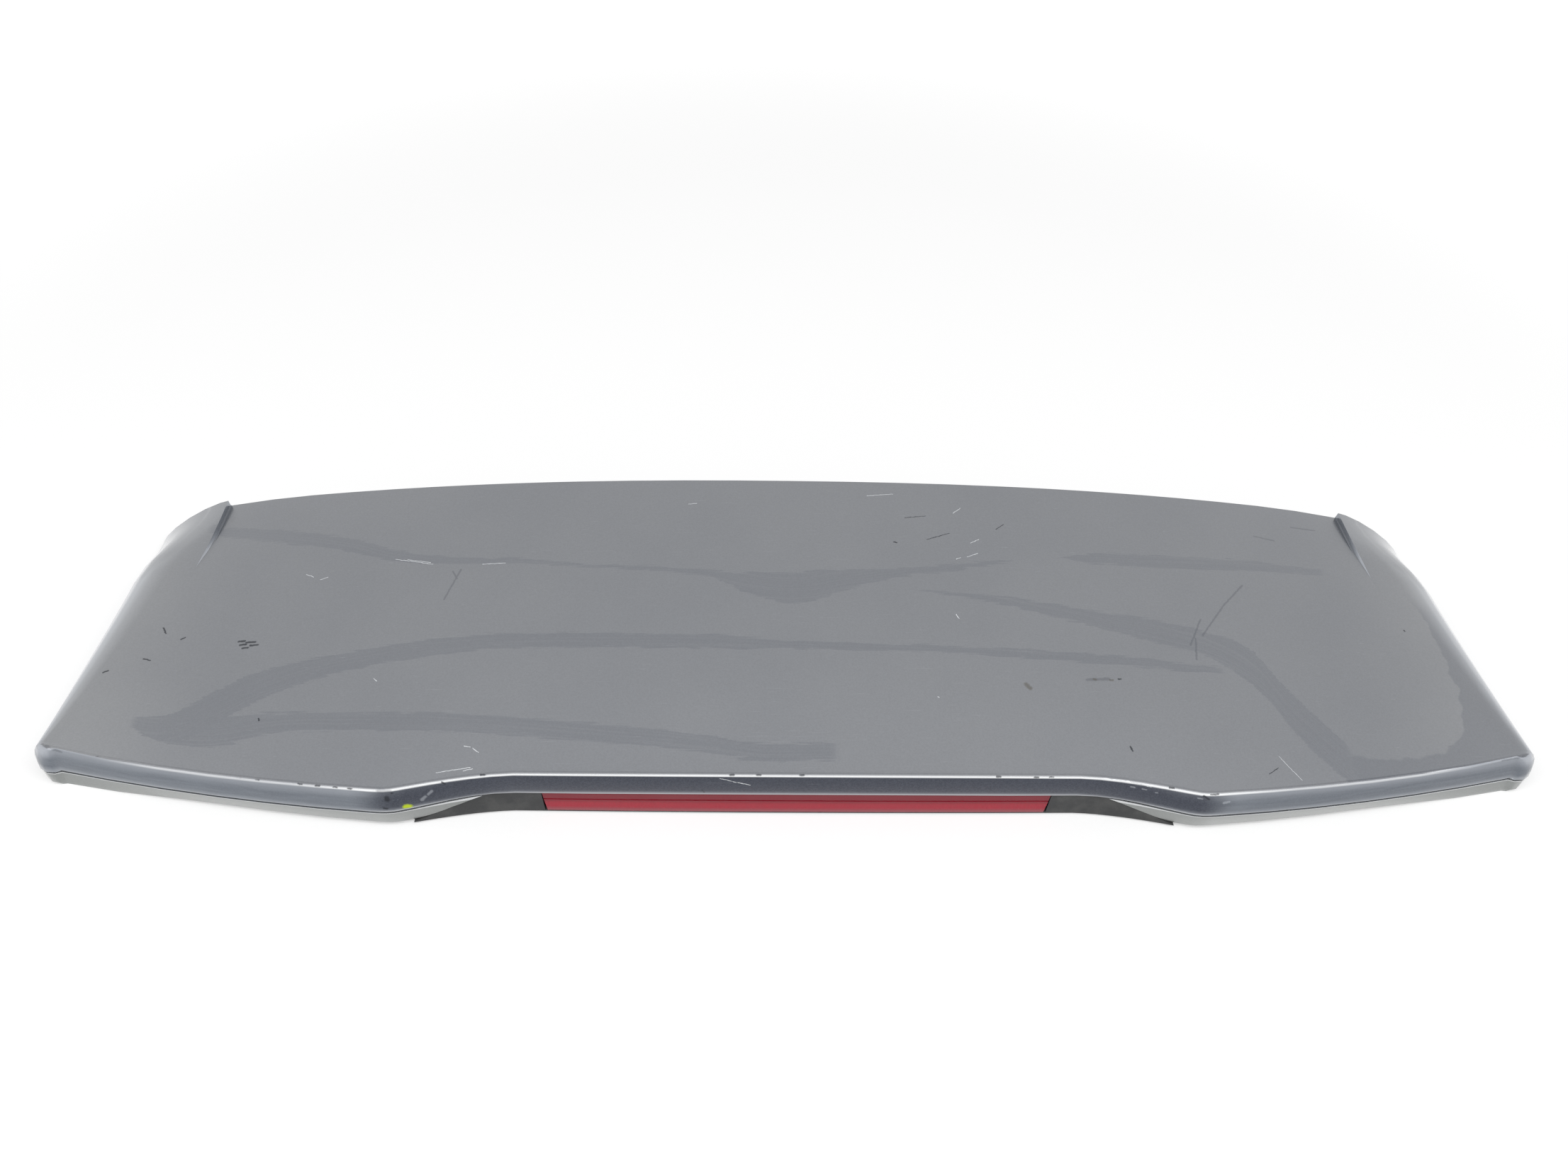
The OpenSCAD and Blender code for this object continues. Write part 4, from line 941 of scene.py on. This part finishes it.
@dataclass(frozen=True)
class SubAssembly:
    """Pieces that belong together.

    Attributes:
        name: What they are.
        copies: The nodes that a smooth-shaded copy stands for; the others keep their own shape.
        finishes: The finish of each node.
    """

    name: str
    copies: tuple[SmoothCopy, ...]
    finishes: dict[str, Finish]

    def build(self) -> None:
        """Makes the copies and gives every piece its material."""
        pieces = dict(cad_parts)
        for copy in self.copies:
            pieces[copy.node] = copy.make()
        for node, finish in self.finishes.items():
            show(pieces[node], finish.make())
        LOG.info("%s: %d pieces", self.name, len(self.finishes))


SUB_ASSEMBLIES = (
    SubAssembly("painted shells", (
        SmoothCopy("upper_shell", "top_skin", "body_paint", change=TrailingEdge().settle),
        SmoothCopy("lower_shell", "under_skin", "lower_paint"),
    ), {"upper_shell": MetallicPaint(), "lower_shell": UnderPaint()}),
    SubAssembly("brake lamp", (
        SmoothCopy("lamp_lens", "lens_cover", "red_lens", 20.0),
        SmoothCopy("lamp_gasket", "lens_gasket", "soft_foam"),
    ), {
        "lamp_lens": RedLens(),
        "lamp_gasket": CellFoam("gasket_foam", 0.6),
        "lamp_housing": Moulded("polypropylene_housing", "#26272A", "#57585A", 0.5),
        "lamp_reflector": Plated("vacuum_metallised_plastic", "#E4E5E8", "#C9CACD", 0.08, 2.0),
        "lamp_board": CircuitBoard(),
        "lamp_leds": Diode(),
        "lamp_resistors": Moulded("chip_ceramic", "#1B1B1D", "#6E6E70", 0.35, 0.3, 0.01),
        "lamp_terminals": Plated("tinned_brass", "#D8C58C", "#B8AA80", 0.2, 0.5),
        "lamp_screws": Plated("zinc_plated_steel", "#C6C7C4", "#9C9D9A"),
    }),
    SubAssembly("lamp trim", (
        SmoothCopy("lamp_trim", "lens_surround", "black_plastic", 25.0),
    ), {
        "lamp_trim": Moulded("grained_black_abs", "#3A3B3C", "#6A6A68", 0.55, 0.9, 0.06, 0.35),
        "trim_screws": Plated("zinc_plated_trim_screws", "#BFC0BC", "#94958F"),
    }),
    SubAssembly("fixings", (
        SmoothCopy("stud_seals", "stud_foam_rings", "soft_foam"),
        SmoothCopy("front_clips", "push_clips", "clip_nylon"),
        SmoothCopy("front_seal", "edge_strip", "seal_rubber"),
        SmoothCopy("rubber_buffers", "floor_buffers", "seal_rubber"),
    ), {
        "stud_seals": CellFoam(),
        "front_clips": Moulded("natural_nylon", "#D9D6C8", "#B4B1A4", 0.45, 1.2, 0.02),
        "front_seal": Moulded("strip_rubber", "#1E1F21", "#4A4B4D", 0.75, 0.8, 0.04),
        "rubber_buffers": Moulded("buffer_rubber", "#222325", "#505153", 0.7, 0.8, 0.04),
        "mounting_studs": Plated("zinc_plated_studs", "#C9C6B4", "#A39F8C", 0.3, 0.6),
        "stud_plates": Plated("pressed_sheet_steel", "#B4B6B8", "#8E9092", 0.35, 1.0),
        "plate_screws": Plated("zinc_plated_plate_screws", "#C6C7C4", "#9C9D9A"),
    }))


# Studio


@dataclass(frozen=True)
class Viewpoint:
    """The photograph's camera, in millimetres and degrees.

    Attributes:
        azimuth: Turn of the view about Z from +Y.
        elevation: How far the view looks down.
        roll: Turn of the camera about its own line of sight.
        distance: Distance from the camera to the target.
        target: The place that the middle of the picture looks at.
        focal: Focal length for a sensor 36 mm wide.
    """

    azimuth: float = 2.63
    elevation: float = 42.0
    roll: float = 2.30
    distance: float = 1403.0
    target: tuple[float, float, float] = (-7.1, 72.0, 40.0)
    focal: float = 36.0 * 2200.0 / 2212.0

    def place(self) -> None:
        """Makes the camera and turns it to the view."""
        turn, tip, lean = (math.radians(a) for a in (self.azimuth, self.elevation, self.roll))
        ahead = Vector((math.sin(turn) * math.cos(tip), math.cos(turn) * math.cos(tip), -math.sin(tip)))
        level = Vector((math.cos(turn), -math.sin(turn), 0.0))
        above = level.cross(ahead)
        right = math.cos(lean) * level + math.sin(lean) * above
        up = -math.sin(lean) * level + math.cos(lean) * above
        where = (Vector(self.target) - self.distance * ahead) * MM
        lens = bpy.data.cameras.new("photo_camera")
        lens.sensor_width = 36.0
        lens.lens = self.focal
        lens.clip_start = 0.01
        camera = stand("photo_camera", lens)
        camera.matrix_world = Matrix((
            (right.x, up.x, -ahead.x, where.x), (right.y, up.y, -ahead.y, where.y),
            (right.z, up.z, -ahead.z, where.z), (0.0, 0.0, 0.0, 1.0)))
        bpy.context.scene.camera = camera


@dataclass(frozen=True)
class Softbox:
    """A flat studio light that faces the object.

    Attributes:
        name: Its name.
        where: Its place in metres.
        size: Its width and length in metres.
        watts: Its power.
    """

    name: str
    where: tuple[float, float, float]
    size: tuple[float, float]
    watts: float

    def hang(self) -> None:
        """Makes the light and turns it to the middle of the frame."""
        data = bpy.data.lights.new(self.name, "AREA")
        data.shape = "RECTANGLE"
        data.size, data.size_y = self.size
        data.energy = self.watts
        light = stand(self.name, data)
        back = Vector(self.where).normalized()
        across = Vector((1.0, 0.0, 0.0))
        across = (across - across.dot(back) * back).normalized()
        light.matrix_world = Matrix.Translation(self.where) @ Matrix(
            (across, back.cross(across), back)).transposed().to_4x4()


@dataclass(frozen=True)
class Studio:
    """A pale floor, a white surround and one soft light.

    Attributes:
        floor_size: Length of the floor's sides in metres.
        surround: Strength of the surround's light on the object.
        floor_tone: Colour of the floor's paper.
        floor_glow: Strength of the glow that makes the lit paper show white.
        glow_grows: Distances in metres from the middle between which the glow grows to full white.
    """

    floor_size: float = 12.0
    surround: float = 0.4
    floor_tone: str = "#CACACA"
    floor_glow: float = 0.48
    glow_grows: tuple[float, float] = (0.9, 2.6)

    def build(self) -> None:
        """Makes the floor, the surround, the light and the camera."""
        shape = bmesh.new()
        bmesh.ops.create_grid(shape, x_segments=2, y_segments=2, size=self.floor_size / 2)
        mesh = bpy.data.meshes.new("studio_floor")
        shape.to_mesh(mesh)
        shape.free()
        floor = stand("studio_floor", mesh)
        floor.data.materials.append(self.paper())
        self.sky()
        Softbox("box_above", (0.0, -1.8, 4.0), (8.0, 1.8), 168.0).hang()
        Viewpoint().place()

    def seen(self, tree: bpy.types.NodeTree) -> bpy.types.Node:
        """Gives one where a ray shows the surface to the camera, straight, mirrored or through glass."""
        path = add(tree, "LightPath")
        seen = add(tree, "Math", {0: path.outputs["Is Camera Ray"], 1: path.outputs["Is Glossy Ray"]},
                   operation="MAXIMUM")
        return add(tree, "Math", {0: seen, 1: path.outputs["Is Transmission Ray"]}, operation="MAXIMUM")

    def paper(self) -> bpy.types.Material:
        """Makes the floor's paper: white where it is seen, shaded by the object, its far edge not told apart."""
        material = bpy.data.materials.new("white_paper")
        tree = empty_tree(material)
        diffuse = add(tree, "BsdfDiffuse", {"Color": linear(self.floor_tone)})
        reach = add(tree, "VectorMath", {0: add(tree, "TexCoord").outputs["Object"]}, operation="LENGTH")
        near, far = self.glow_grows
        strength = add(tree, "MapRange", {0: reach.outputs["Value"], 1: near, 2: far, 3: self.floor_glow, 4: 1.0},
                       interpolation_type="SMOOTHSTEP")
        glow = add(tree, "Emission", {"Color": (1, 1, 1, 1), "Strength": strength})
        both = add(tree, "AddShader", {0: diffuse, 1: glow})
        shown = add(tree, "MixShader", {0: self.seen(tree), 1: diffuse, 2: both})
        add(tree, "OutputMaterial", {"Surface": shown})
        return material

    def sky(self) -> None:
        """Makes the white surround: plain light on the object, full white where it is seen or mirrored."""
        world = bpy.data.worlds.new("white_surround")
        bpy.context.scene.world = world
        tree = empty_tree(world)
        strength = add(tree, "MapRange", {0: self.seen(tree), 3: self.surround, 4: 1.0})
        light = add(tree, "Background", {"Color": (1, 1, 1, 1), "Strength": strength})
        add(tree, "OutputWorld", {"Surface": light})


def main() -> None:
    """Builds the studio and every sub-assembly."""
    logging.basicConfig(level=logging.INFO, format="%(message)s")
    bpy.context.scene.view_settings.view_transform = "Standard"
    Studio().build()
    for part in SUB_ASSEMBLIES:
        part.build()


if __name__ == "__main__":
    main()
